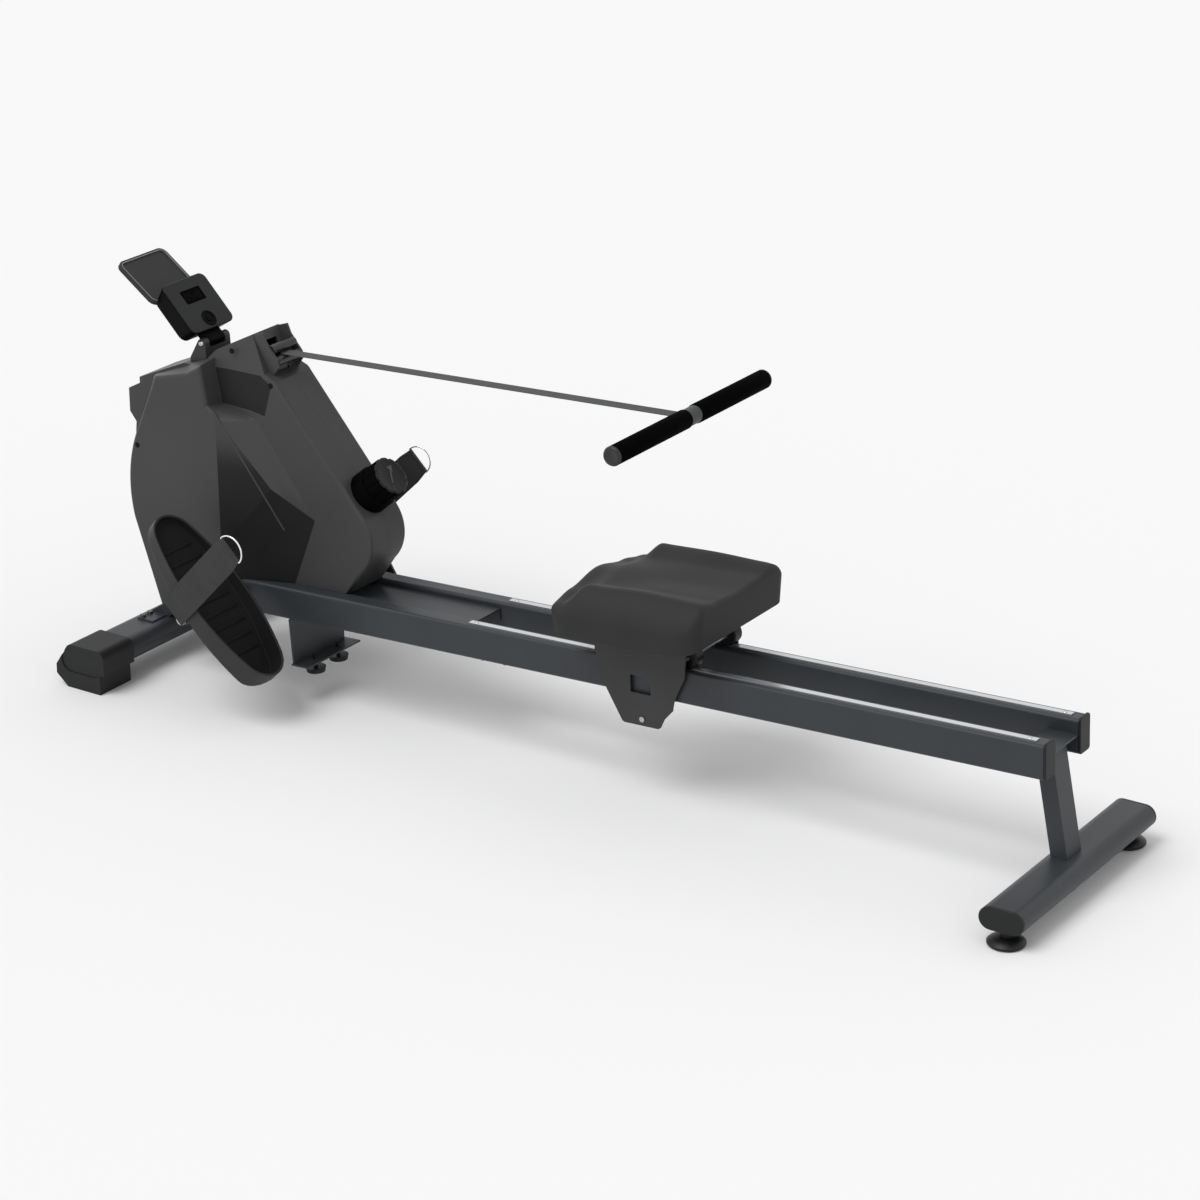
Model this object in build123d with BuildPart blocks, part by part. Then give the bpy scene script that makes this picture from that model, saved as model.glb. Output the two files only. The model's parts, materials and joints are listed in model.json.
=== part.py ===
from build123d import *
import math
import os

# Magnetic rowing machine. +X runs to the rear foot, the rower's left side is -Y, +Z is up.
# The origin is on the floor under the middle of the machine. Lengths are in millimetres.

os.makedirs("parts", exist_ok=True)

# Clearances and overruns
seat_gap = 0.3
shaft_gap = 0.05
overrun = 6.0

# Rails, which rise a little to the rear
rail_slope = 2.3746
rail_top_height = 285.2
rail_width = 35.0
rail_height = 61.0
rail_wall = 2.0
rail_corner = 6.0
rail_spacing = 124.0
rear_rail_length = 1131.0
front_rail_length = 677.0
spigot_length = 95.0
spigot_grip = 40.0
joint_bolt_first = 29.0
joint_bolt_pitch = 47.0

# Running strips on the rear rails
strip_width = 12.0
strip_thickness = 2.0
strip_setback = 18.0
strip_front_setback = 4.0

# Rail end caps
cap_flange = 5.0
cap_plug = 20.0
cap_rise = 3.0

# Deck plate between the front rails
deck_thickness = 3.0
deck_drop = 11.0
deck_flange = 22.0
deck_setback = 7.0
deck_length = 300.0

# Domed bolts
bolt_head_radius = 7.0
bolt_head_height = 4.5
bolt_shank_radius = 3.5
bolt_shank_length = 9.0

# Rear leg and its bracket
leg_reach = 20.0
leg_depth = 30.0
leg_width = 50.0
leg_wall = 2.5
leg_top_setback = 28.0
leg_foot_offset = 4.0
bracket_length = 56.0
bracket_drop = 28.0
bracket_sheet = 3.0
bracket_flange = 27.0

# Rear foot
rear_tube_width = 80.0
rear_tube_height = 40.0
rear_tube_length = 474.0
rear_tube_wall = 2.0
rear_plug_flange = 5.0
rear_plug_depth = 12.0
pad_spacing = 438.0
pad_radius = 32.0
pad_edge = 6.0
pad_dome = 15.0
pad_neck_radius = 11.0
pad_height = 28.7
pad_stem_radius = 5.0
pad_stem_rise = 20.0

# Front foot
front_tube_width = 90.0
front_tube_height = 46.0
front_tube_lift = 31.0
front_tube_length = 380.0
front_tube_wall = 2.0
foot_cap_length = 86.0
foot_cap_grip = 24.0
foot_cap_height = 86.0
foot_cap_nose = 62.0
foot_cap_tail = 53.0
foot_cap_heel = 42.0
foot_cap_top_front = 31.0
foot_cap_heel_height = 38.0
foot_cap_nose_low = 22.0
foot_cap_nose_high = 40.0
foot_cap_sole_front = 36.0
foot_cap_corner = 16.0
foot_cap_panel = 2.0
foot_cap_panel_margin = 9.0
wheel_radius = 24.0
wheel_width = 22.0
wheel_floor_gap = 3.0
wheel_pin_radius = 4.0
wheel_inset = 28.0
wheel_side_gap = 1.0
wheel_rim_gap = 2.5

# Front post between the front foot and the rails
post_reach = 64.0
post_width = 60.0
post_depth = 46.0
post_sheet = 3.0
post_setback = 12.0
saddle_length = 74.0
saddle_width = 140.0
saddle_thickness = 3.0
saddle_bolt_ahead = 12.0
saddle_bolt_near = 42.0
saddle_bolt_far = 62.0
cross_plate_length = 80.0
cross_plate_thickness = 4.0

# Middle bracket with two small pads
mid_from_front = 284.0
mid_sheet = 4.0
mid_height = 90.0
mid_top_width = 158.0
mid_bottom_width = 150.0
mid_flange_length = 38.0
mid_flange_thickness = 3.0
mid_pad_spacing = 68.0
mid_pad_radius = 19.0
mid_pad_height = 9.0
mid_pad_gap = 13.0
mid_pad_stem_radius = 4.0
mid_pad_setback = 20.0

# Moulded housing. Its outlines are shares of its length and of its rise above the rails.
housing_length = 548.0
housing_rise = 467.0
housing_overhang = 89.4
housing_wall = 3.0
ridge_half_width = 53.0
cover_half_width = 92.0
hump_half_width = 37.0
ridge_edge_radius = 7.0
cover_edge_radius = 7.0
housing_part_line = 0.15
panel_depth = 1.0
facet_depth_rear = 10.0
facet_depth_front = 3.0

# Strap outlet
outlet_half_width = 37.0
outlet_cheek = 4.0
outlet_plate = 3.0
outlet_lip = 23.0
strap_roller_radius = 9.0
strap_roller_pin = 2.5
strap_roller_back = 10.0
strap_roller_out = 20.0
strap_roller_up = 12.0

# Pull strap and handle
strap_width = 25.0
strap_thickness = 1.5
handle_height = 680.0
handle_from_rail_end = 715.5
handle_length = 480.0
handle_bar_radius = 12.5
handle_bar_wall = 2.0
grip_radius = 17.0
grip_end = 5.0
grip_dome = 3.0
collar_width = 30.0
collar_radius = 15.5
collar_tongue = 6.0
collar_tongue_height = 8.0

# Spool, drive pulley, belt and flywheel
spool_drop = 113.0
spool_radius = 40.0
spool_flange = 5.0
spool_width = 29.0
spool_flange_sheet = 1.5
axle_radius = 6.0
pulley_radius = 65.0
pulley_width = 14.0
pulley_offset = 18.0
pulley_rim = 8.0
pulley_web = 4.0
pulley_hub_radius = 13.0
belt_width = 9.0
belt_thickness = 3.0
flywheel_radius = 130.0
flywheel_width = 25.0
flywheel_rim = 30.0
flywheel_web = 9.0
flywheel_hub_radius = 16.0
flywheel_pulley_radius = 20.0
flywheel_angle = 235.5
flywheel_clearance = 25.0
mast_sheet = 3.0
mast_flywheel_eye = 28.0
mast_spool_eye = 24.0
mast_base_rise = 22.0
mast_base_front = 8.0
mast_base_length = 222.0
mast_grip = 45.0

# Magnet arm and cable
magnet_gap = 4.0
magnet_thickness = 4.0
arm_thickness = 5.0
arm_width = 34.0
arm_pivot_radius = 147.0
arm_pivot_angle = -50.0
arm_tip_angle = 12.0
arm_eye_radius = 10.0
arm_pin_radius = 5.0
cable_radius = 2.5
cable_stop_size = 14.0
cable_stop_sheet = 6.0
cable_first_run = 42.0
cable_bend_run = 52.0

# Resistance knob
knob_place_share = 0.86
knob_base_radius = 40.0
knob_base_height = 30.0
knob_base_round = 4.0
knob_stub_radius = 12.0
knob_stub_length = 12.0
knob_radius = 37.0
knob_height = 38.0
knob_round = 3.0
knob_pin_radius = 5.0
knob_pin_length = 20.0
knob_flute_radius = 3.0
knob_flutes = 12

# Console, phone holder and neck
console_tilt = 46.1
console_width = 120.0
console_length = 108.6
console_depth = 40.0
console_taper = 8.0
console_corner = 14.0
console_rise = 67.9
console_front = 20.2
console_edge_round = 3.0
screen_width = 54.0
screen_height = 28.0
screen_up = 17.0
screen_pocket = 3.0
screen_thickness = 2.0
button_radius = 16.0
button_down = 34.0
button_height = 6.0
button_proud = 1.5
button_pocket = 8.0
holder_tilt = 36.0
holder_width = 128.0
holder_length = 106.0
holder_thickness = 8.0
holder_overlap = 10.0
holder_rim = 4.0
holder_rim_depth = 2.0
holder_corner = 15.0
neck_half_width = 36.0
neck_hinge_rise = 34.0
neck_hinge_back = 11.0
neck_base_length = 38.0
neck_barrel = 9.0
neck_pin_radius = 4.0
lug_half_width = 22.0
lug_barrel = 8.0

# Pedals
pedal_axle_from_front = 181.0
pedal_axle_drop = 21.0
pedal_axle_radius = 6.0
pedal_tilt = 44.8
pedal_length = 356.0
pedal_width = 144.0
pedal_end_radius = 50.0
pedal_middle = 184.0
pedal_rise = 44.5
pedal_heel_depth = 46.0
pedal_toe_depth = 18.0
pedal_wall = 5.0
pedal_sole = 6.0
pedal_heel_round = 24.0
pedal_boss_radius = 12.0
pedal_boss_margin = 6.0
pedal_axle_collar = 10.0
pedal_strap_width = 58.0
pedal_strap_thickness = 2.0
pedal_strap_length = 224.0
pedal_strap_low = 48.0
pedal_strap_toe = 21.0
pedal_strap_lean = 5.5
ring_radius = 27.0
ring_wire = 1.5

# Seat and its carriage
seat_from_rail_end = 754.7
seat_roller_radius = 20.0
seat_roller_width = 24.0
seat_roller_setback = 66.0
seat_lower_radius = 13.0
seat_axle_radius = 5.0
seat_plate_thickness = 4.0
seat_plate_gap = 2.0
seat_plate_setback = 58.0
carriage_inner_gap = 5.5
carriage_sheet = 3.0
carriage_drop = 113.0
seat_pad_length = 300.0
seat_pad_width = 310.0
seat_pad_height = 98.0
seat_pad_corner = 34.0
seat_pad_draw = 4.0
seat_pad_rear_lift = 15.0
seat_pad_lift_length = 104.0

# Outlines, chosen by hand as shares of the sizes that they follow
ridge_front_shares = [(0.144, -0.195), (0.033, 0.246), (0.020, 0.411), (0.026, 0.553)]
ridge_top_shares = [
    (0.0, 0.592), (0.0, 0.688), (0.049, 0.716), (0.049, 0.741), (0.243, 0.829),
    (0.316, 0.831), (0.372, 0.899), (0.438, 0.936), (0.516, 0.979)]
mouth_share = (0.580, 0.837)
ridge_slope_shares = [(0.626, 0.811), (0.971, 0.317)]
ridge_nose_shares = [(1.0, 0.228), (0.960, 0.097)]
ridge_bottom_share = (0.899, -0.005)
cover_front_shares = [(0.180, 0.788), (0.100, 0.580), (0.046, 0.380), (0.056, 0.180)]
cover_low_shares = [(0.159, -0.178), (0.473, -0.144), (0.659, -0.079), (0.810, -0.022)]
cover_rear_shares = [
    (0.676, 0.243), (0.440, 0.645), (0.391, 0.702), (0.367, 0.858), (0.312, 0.818)]
base_front_shares = [(0.104, 0.760), (0.060, 0.600), (0.026, 0.400), (0.040, 0.200)]
base_low_shares = [(0.149, -0.188), (0.473, -0.160), (0.690, -0.090), (0.880, 0.006)]
base_rear_shares = [
    (0.783, 0.293), (0.560, 0.650), (0.396, 0.688), (0.372, 0.870), (0.243, 0.822)]
facet_crease_shares = [(0.427, 0.600), (0.431, 0.158)]
facet_fold_shares = [(0.566, 0.311), (0.474, 0.190)]
facet_foot_share = (0.731, 0.150)
panel_shares = [
    (0.378, 0.834), (0.553, 0.838), (0.609, 0.795), (0.578, 0.668), (0.520, 0.682),
    (0.400, 0.694)]
cheek_shares = [
    (0.0, 0.98), (0.99, 0.93), (0.92, 0.68), (1.08, 0.42), (1.25, 0.17), (1.03, 0.0),
    (0.0, -0.16)]
outlet_plate_middle_share = 0.41
outlet_plate_share = 1.14
carriage_plate_shares = [
    (-0.51, 0.08), (-0.395, -0.50), (-0.227, -0.985), (-0.205, -1.0),
    (0.17, -1.0), (0.195, -0.97), (0.24, -0.82), (0.332, -0.66), (0.352, -0.49),
    (0.471, -0.10), (0.49, 0.26)]
seat_section_shares = [
    (-0.56, 0.44, 0.50, 0.90, 0.62, 0.50, 0.74), (-0.42, 0.44, 0.58, 0.84, 0.66, 0.52, 0.80),
    (-0.27, 0.42, 0.93, 0.75, 0.74, 0.45, 0.84), (0.10, 0.42, 0.97, 0.72, 0.76, 0.42, 0.70),
    (0.40, 0.44, 0.95, 0.72, 0.80, 0.42, 0.75), (0.56, 0.48, 0.91, 0.72, 0.85, 0.42, 0.81)]
carriage_window_shares = [(-0.125, -0.48), (-0.125, -0.20), (-0.02, -0.20), (0.09, -0.48)]

# Sizes that follow
slope = math.radians(rail_slope)
rail_cos = math.cos(slope)
rail_sin = math.sin(slope)
rails_length = rear_rail_length + front_rail_length
front_overhang = post_reach + foot_cap_nose
rear_overhang = leg_reach + rear_tube_width / 2
rail_rear_x = (rails_length * rail_cos + front_overhang - rear_overhang) / 2
rail_front_x = rail_rear_x - rails_length * rail_cos
front_foot_x = rail_front_x - post_reach
front_foot_z = front_tube_lift + front_tube_height / 2
rear_foot_x = rail_rear_x + leg_reach
rear_foot_z = pad_height + seat_gap + rear_tube_height / 2
rail_inner = rail_spacing / 2 - rail_width / 2
rail_outer = rail_spacing / 2 + rail_width / 2
sides = ((-1, "left"), (1, "right"))


def rail_top(x):
    return rail_top_height - (rail_rear_x - x) * math.tan(slope)


def rail_point(s, n):
    # The point s in front of the rails' rear end, n above their top
    x = rail_rear_x - s * rail_cos - n * rail_sin
    z = rail_top_height - s * rail_sin + n * rail_cos
    return x, z


def side_view(x, z, y=0.0):
    # Looking along +Y with X to the right and Z up, normal to -Y
    return Plane(origin=(x, y, z), x_dir=(1, 0, 0), z_dir=(0, -1, 0))


def rail_cross(s):
    x, z = rail_point(s, 0)
    return Plane(origin=(x, 0, z), x_dir=(0, 1, 0), z_dir=(rail_cos, 0, rail_sin))


def rail_flat(s, n):
    x, z = rail_point(s, n)
    return Plane(origin=(x, 0, z), x_dir=(rail_cos, 0, rail_sin), z_dir=(-rail_sin, 0, rail_cos))


def rail_side(s, n, y=0.0):
    x, z = rail_point(s, n)
    return Plane(origin=(x, y, z), x_dir=(rail_cos, 0, rail_sin), z_dir=(0, -1, 0))


def keep(piece, name):
    piece.label = name
    export_step(piece, f"parts/{name}.step")


def rail_section(outer_cut, corner_cut, mode=Mode.ADD):
    RectangleRounded(rail_width - 2 * outer_cut, rail_height - 2 * outer_cut,
                     rail_corner - corner_cut, mode=mode)


# One domed bolt, its clamped face at the origin and its head upwards
with BuildPart() as domed_bolt:
    with BuildSketch():
        Circle(bolt_head_radius)
    extrude(amount=bolt_head_height, taper=20)
    with BuildSketch():
        Circle(bolt_shank_radius)
    extrude(amount=-bolt_shank_length)


# Rails
seam = rear_rail_length
joint_bolts = [seam - joint_bolt_first, seam - joint_bolt_first - joint_bolt_pitch]
pedal_axle_s = rails_length - pedal_axle_from_front
pedal_axle_x, pedal_axle_z = rail_point(pedal_axle_s, -pedal_axle_drop)
bolt_hole_radius = bolt_shank_radius + seat_gap

for side, hand in sides:
    middle = (side * rail_spacing / 2, -rail_height / 2)
    bolt_holes = [(-s, side * rail_spacing / 2) for s in joint_bolts]
    with BuildPart() as rear_rail:
        with BuildSketch(rail_cross(seam)):
            with Locations(middle):
                rail_section(0, 0)
                rail_section(rail_wall, rail_wall, Mode.SUBTRACT)
        extrude(amount=rear_rail_length)
        with BuildSketch(rail_flat(0, -rail_height - overrun)):
            with Locations(*bolt_holes):
                Circle(bolt_hole_radius)
        extrude(amount=overrun + 3 * rail_wall, mode=Mode.SUBTRACT)
    keep(rear_rail.part, f"rear_rail_{hand}")

    with BuildPart() as front_rail:
        with BuildSketch(rail_cross(rails_length)):
            with Locations(middle):
                rail_section(0, 0)
                rail_section(rail_wall, rail_wall, Mode.SUBTRACT)
        extrude(amount=front_rail_length)
        with BuildSketch(rail_cross(seam + spigot_grip)):
            with Locations(middle):
                rail_section(rail_wall, rail_wall)
                rail_section(2 * rail_wall, 2 * rail_wall, Mode.SUBTRACT)
        extrude(amount=spigot_grip)
        with BuildSketch(rail_cross(seam)):
            with Locations(middle):
                rail_section(rail_wall + seat_gap, rail_wall)
                rail_section(2 * rail_wall, 2 * rail_wall, Mode.SUBTRACT)
        extrude(amount=spigot_length)
        with BuildSketch(rail_flat(0, -rail_height - overrun)):
            with Locations(*bolt_holes):
                Circle(bolt_hole_radius)
        extrude(amount=overrun + 3 * rail_wall, mode=Mode.SUBTRACT)
        with BuildSketch(side_view(pedal_axle_x, pedal_axle_z)):
            Circle(pedal_axle_radius + shaft_gap)
        extrude(amount=rail_outer + overrun, both=True, mode=Mode.SUBTRACT)
    keep(front_rail.part, f"front_rail_{hand}")

strip_length = rear_rail_length - strip_setback - strip_front_setback
strip_middle = strip_setback + strip_length / 2
with BuildPart() as rail_strips:
    with BuildSketch(rail_flat(strip_middle, 0)):
        with Locations((0, -rail_spacing / 2), (0, rail_spacing / 2)):
            Rectangle(strip_length, strip_width)
    extrude(amount=strip_thickness)
keep(rail_strips.part, "rail_strips")

cap_middle_n = (cap_rise - rail_height) / 2
with BuildPart() as rail_end_caps:
    with BuildSketch(rail_cross(0)):
        with Locations((-rail_spacing / 2, cap_middle_n), (rail_spacing / 2, cap_middle_n)):
            RectangleRounded(rail_width, rail_height + cap_rise, rail_corner)
    extrude(amount=cap_flange)
    outer_edges = rail_end_caps.faces().sort_by(Axis.X)[-2:].edges()
    fillet(outer_edges, radius=cap_flange / 3)
    with BuildSketch(rail_cross(cap_plug)):
        with Locations((-rail_spacing / 2, -rail_height / 2), (rail_spacing / 2, -rail_height / 2)):
            rail_section(rail_wall + seat_gap, rail_wall)
            rail_section(2 * rail_wall, 2 * rail_wall, Mode.SUBTRACT)
    extrude(amount=cap_plug)
keep(rail_end_caps.part, "rail_end_caps")

# Deck: a channel between the front rails that ends just in front of the rail joint
deck_start = seam + deck_setback
with BuildPart() as front_deck:
    with BuildSketch(rail_cross(deck_start + deck_length)):
        with Locations((0, -deck_drop - deck_thickness / 2)):
            Rectangle(2 * rail_inner, deck_thickness)
        for side, hand in sides:
            edge = side * (rail_inner - deck_thickness / 2)
            with Locations((edge, -deck_drop - deck_flange / 2)):
                Rectangle(deck_thickness, deck_flange)
    extrude(amount=deck_length)
keep(front_deck.part, "front_deck")

# Rear leg with the bracket that holds it between the rails
leg_bottom = Vector(rear_foot_x - leg_foot_offset, 0, rear_foot_z)
leg_top_x, leg_top_z = rail_point(leg_top_setback, -bracket_drop)
leg_top = Vector(leg_top_x, 0, leg_top_z)
leg_axis = leg_top - leg_bottom
with BuildPart() as rear_foot_space:
    with BuildSketch(side_view(rear_foot_x, rear_foot_z)):
        SlotOverall(rear_tube_width, rear_tube_height)
    extrude(amount=rear_tube_length / 2, both=True)

with BuildPart() as rear_leg:
    with BuildSketch(Plane(origin=leg_bottom, x_dir=(0, 1, 0), z_dir=leg_axis)):
        Rectangle(leg_width, leg_depth)
        Rectangle(leg_width - 2 * leg_wall, leg_depth - 2 * leg_wall, mode=Mode.SUBTRACT)
    extrude(amount=leg_axis.length + leg_depth)
    add(rear_foot_space.part, mode=Mode.SUBTRACT)
    with BuildSketch(rail_flat(leg_top_setback, -bracket_drop)):
        Rectangle(2 * leg_width, 2 * leg_width)
    extrude(amount=2 * leg_depth, mode=Mode.SUBTRACT)
    with BuildSketch(rail_cross(bracket_length)):
        with Locations((0, -bracket_drop + bracket_sheet / 2)):
            Rectangle(2 * rail_inner, bracket_sheet)
        for side, hand in sides:
            edge = side * (rail_inner - bracket_sheet / 2)
            with Locations((edge, -bracket_drop - bracket_flange / 2 + bracket_sheet)):
                Rectangle(bracket_sheet, bracket_flange)
    extrude(amount=bracket_length)
keep(rear_leg.part, "rear_leg")

# Rear foot: tube, end plugs and two levelling pads
with BuildPart() as rear_foot_tube:
    with BuildSketch(side_view(rear_foot_x, rear_foot_z)):
        SlotOverall(rear_tube_width, rear_tube_height)
        SlotOverall(rear_tube_width - 2 * rear_tube_wall, rear_tube_height - 2 * rear_tube_wall,
                    mode=Mode.SUBTRACT)
    extrude(amount=rear_tube_length / 2, both=True)
    with BuildSketch(Plane.XY.offset(pad_height)):
        with Locations((rear_foot_x, -pad_spacing / 2), (rear_foot_x, pad_spacing / 2)):
            Circle(pad_stem_radius + shaft_gap)
    extrude(amount=rear_tube_height / 2, mode=Mode.SUBTRACT)
keep(rear_foot_tube.part, "rear_foot_tube")

plug_inset = rear_tube_wall + seat_gap
with BuildPart() as rear_foot_plugs:
    for side, hand in sides:
        end = side * rear_tube_length / 2
        with BuildSketch(side_view(rear_foot_x, rear_foot_z, end)):
            SlotOverall(rear_tube_width, rear_tube_height)
        extrude(amount=-side * rear_plug_flange)
        with BuildSketch(side_view(rear_foot_x, rear_foot_z, end)):
            SlotOverall(rear_tube_width - 2 * plug_inset, rear_tube_height - 2 * plug_inset)
            SlotOverall(rear_tube_width - 4 * plug_inset, rear_tube_height - 4 * plug_inset,
                        mode=Mode.SUBTRACT)
        extrude(amount=side * rear_plug_depth)
keep(rear_foot_plugs.part, "rear_foot_plugs")

pad_stem_top = pad_height + pad_stem_rise
for side, hand in sides:
    pad_plane = Plane(origin=(rear_foot_x, side * pad_spacing / 2, 0), x_dir=(1, 0, 0),
                      z_dir=(0, -1, 0))
    with BuildPart() as rear_pad:
        with BuildSketch(pad_plane):
            with BuildLine():
                rim = Polyline((0, 0), (pad_radius - pad_edge / 2, 0), (pad_radius, pad_edge / 2),
                               (pad_radius, pad_edge))
                dome = ThreePointArc(rim @ 1, (pad_radius * 0.72, pad_dome * 0.82),
                                     (pad_neck_radius, pad_dome))
                Polyline(dome @ 1, (pad_neck_radius, pad_height), (pad_stem_radius, pad_height),
                         (pad_stem_radius, pad_stem_top), (0, pad_stem_top), (0, 0))
            make_face()
        revolve(axis=Axis((rear_foot_x, side * pad_spacing / 2, 0), (0, 0, 1)))
    keep(rear_pad.part, f"rear_pad_{hand}")

# Front foot: tube and two faceted end caps with a transport wheel in each
front_tube_half = front_tube_length / 2
cap_inner_y = front_tube_half - foot_cap_grip
cap_outer_y = cap_inner_y + foot_cap_length
wheel_x = front_foot_x - foot_cap_nose + wheel_radius + seat_gap
wheel_z = wheel_radius + wheel_floor_gap
wheel_y = cap_outer_y - wheel_inset - wheel_width / 2
cap_outline = [
    (-foot_cap_sole_front, 0), (foot_cap_heel, 0), (foot_cap_heel, foot_cap_heel_height),
    (foot_cap_tail, foot_cap_nose_high), (foot_cap_tail, foot_cap_height),
    (-foot_cap_top_front, foot_cap_height), (-foot_cap_nose, foot_cap_nose_high),
    (-foot_cap_nose, foot_cap_nose_low)]

with BuildPart() as front_foot_tube:
    with BuildSketch(side_view(front_foot_x, front_foot_z)):
        SlotOverall(front_tube_width, front_tube_height)
        SlotOverall(front_tube_width - 2 * front_tube_wall,
                    front_tube_height - 2 * front_tube_wall, mode=Mode.SUBTRACT)
    extrude(amount=front_tube_half, both=True)
    with BuildSketch(Plane.XY.offset(front_foot_z)):
        with Locations(*[(front_foot_x - saddle_bolt_ahead, y) for y in
                         (-saddle_bolt_far, -saddle_bolt_near, saddle_bolt_near, saddle_bolt_far)]):
            Circle(bolt_hole_radius)
    extrude(amount=front_tube_height, mode=Mode.SUBTRACT)
keep(front_foot_tube.part, "front_foot_tube")

for side, hand in sides:
    with BuildPart() as foot_cap:
        with BuildSketch(side_view(front_foot_x, 0, side * cap_inner_y)):
            with BuildLine():
                Polyline(*cap_outline, close=True)
            make_face()
        extrude(amount=-side * foot_cap_length)
        upright = foot_cap.edges().filter_by(Axis.Y)
        fillet(upright.sort_by(Axis.Z)[-2:], radius=foot_cap_corner)
        with BuildSketch(side_view(front_foot_x, front_foot_z, side * cap_outer_y)):
            SlotOverall(foot_cap_tail + foot_cap_nose - 2 * foot_cap_panel_margin,
                        front_tube_height)
        extrude(amount=side * foot_cap_panel, mode=Mode.SUBTRACT)
        with BuildSketch(side_view(front_foot_x, front_foot_z, side * cap_inner_y)):
            SlotOverall(front_tube_width + 2 * seat_gap, front_tube_height + 2 * seat_gap)
        extrude(amount=-side * (foot_cap_grip + seat_gap), mode=Mode.SUBTRACT)
        with BuildSketch(side_view(wheel_x, wheel_z, side * wheel_y)):
            Circle(wheel_radius + wheel_rim_gap)
            with Locations((-wheel_radius, 0)):
                Rectangle(2 * wheel_radius, 2 * wheel_radius + 2 * wheel_rim_gap)
            with Locations((0, -wheel_radius)):
                Rectangle(2 * wheel_radius + 2 * wheel_rim_gap, 2 * wheel_radius)
        extrude(amount=wheel_width / 2 + wheel_side_gap, both=True, mode=Mode.SUBTRACT)
        with BuildSketch(side_view(wheel_x, wheel_z, side * wheel_y)):
            Circle(wheel_pin_radius)
        extrude(amount=wheel_width / 2 + 2 * wheel_side_gap, both=True)
    keep(foot_cap.part, f"front_foot_cap_{hand}")

    with BuildPart() as transport_wheel:
        with BuildSketch(side_view(wheel_x, wheel_z, side * wheel_y)):
            Circle(wheel_radius)
            Circle(wheel_pin_radius + shaft_gap, mode=Mode.SUBTRACT)
        extrude(amount=wheel_width / 2, both=True)
        rims = transport_wheel.edges().filter_by(GeomType.CIRCLE).group_by(SortBy.RADIUS)[-1]
        fillet(rims, radius=wheel_rim_gap)
    keep(transport_wheel.part, f"transport_wheel_{hand}")

# Front post: saddle plate on the foot tube, leaning channel and cross plate under the rails
saddle_z = front_foot_z + front_tube_height / 2
post_top_x, post_top_z = rail_point(rails_length - post_setback, -rail_height - cross_plate_thickness)
post_back_x, post_back_z = rail_point(rails_length - post_setback - post_depth,
                                      -rail_height - cross_plate_thickness)
post_foot_front = front_foot_x - post_depth / 2
post_outline = [
    (post_foot_front, saddle_z), (post_foot_front + post_depth, saddle_z),
    (post_back_x, post_back_z), (post_top_x, post_top_z)]
with BuildPart() as front_post:
    with BuildSketch(Plane.XY.offset(saddle_z)):
        with Locations((front_foot_x, 0)):
            Rectangle(saddle_length / 2, saddle_width)
    extrude(amount=saddle_thickness)
    with BuildSketch(Plane.XZ):
        with BuildLine():
            Polyline(*post_outline, close=True)
        make_face()
    extrude(amount=post_width / 2, both=True)
    with BuildSketch(Plane.XZ):
        with BuildLine():
            Polyline((post_foot_front + post_sheet, saddle_z + saddle_thickness),
                     (post_foot_front + 2 * post_depth, saddle_z + saddle_thickness),
                     (post_back_x + post_depth, post_back_z), (post_top_x + post_sheet, post_top_z),
                     close=True)
        make_face()
    extrude(amount=post_width / 2 - post_sheet, both=True, mode=Mode.SUBTRACT)
    cross_middle = rails_length - cross_plate_length / 2
    with BuildSketch(rail_flat(cross_middle, -rail_height - cross_plate_thickness)):
        Rectangle(cross_plate_length, 2 * rail_outer)
    extrude(amount=cross_plate_thickness)
    with BuildSketch(Plane.XY.offset(saddle_z)):
        with Locations(*[(front_foot_x - saddle_bolt_ahead, y) for y in
                         (-saddle_bolt_far, -saddle_bolt_near, saddle_bolt_near, saddle_bolt_far)]):
            Circle(bolt_hole_radius)
    extrude(amount=saddle_thickness, mode=Mode.SUBTRACT)
keep(front_post.part, "front_post")

# Bolts: four domed ones on the saddle and two under each rail joint
bolt_planes = []
for y in (-saddle_bolt_far, -saddle_bolt_near, saddle_bolt_near, saddle_bolt_far):
    bolt_place = (front_foot_x - saddle_bolt_ahead, y, saddle_z + saddle_thickness)
    bolt_planes.append(Plane(origin=bolt_place))
for side, hand in sides:
    for s in joint_bolts:
        x, z = rail_point(s, -rail_height)
        bolt_planes.append(Plane(origin=(x, side * rail_spacing / 2, z), x_dir=(0, 1, 0),
                                 z_dir=(rail_sin, 0, -rail_cos)))
with BuildPart() as frame_bolts:
    with Locations(*bolt_planes):
        add(domed_bolt.part)
keep(frame_bolts.part, "frame_bolts")

# Middle bracket under the front rails
mid_s = rails_length - mid_from_front
mid_low = -rail_height - mid_height
mid_pad_s = mid_s - mid_pad_setback
with BuildPart() as mid_bracket:
    with BuildSketch(rail_cross(mid_s)):
        with BuildLine():
            Polyline((-mid_top_width / 2, -rail_height), (-mid_bottom_width / 2, mid_low),
                     (mid_bottom_width / 2, mid_low), (mid_top_width / 2, -rail_height), close=True)
        make_face()
    extrude(amount=mid_sheet)
    with BuildSketch(rail_flat(mid_s - mid_flange_length / 2, mid_low)):
        Rectangle(mid_flange_length, mid_bottom_width + 2 * mid_sheet)
    extrude(amount=mid_flange_thickness)
    with BuildSketch(rail_flat(mid_pad_s, mid_low)):
        with Locations((0, -mid_pad_spacing / 2), (0, mid_pad_spacing / 2)):
            Circle(mid_pad_stem_radius + shaft_gap)
    extrude(amount=mid_flange_thickness, mode=Mode.SUBTRACT)
keep(mid_bracket.part, "mid_bracket")

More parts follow.
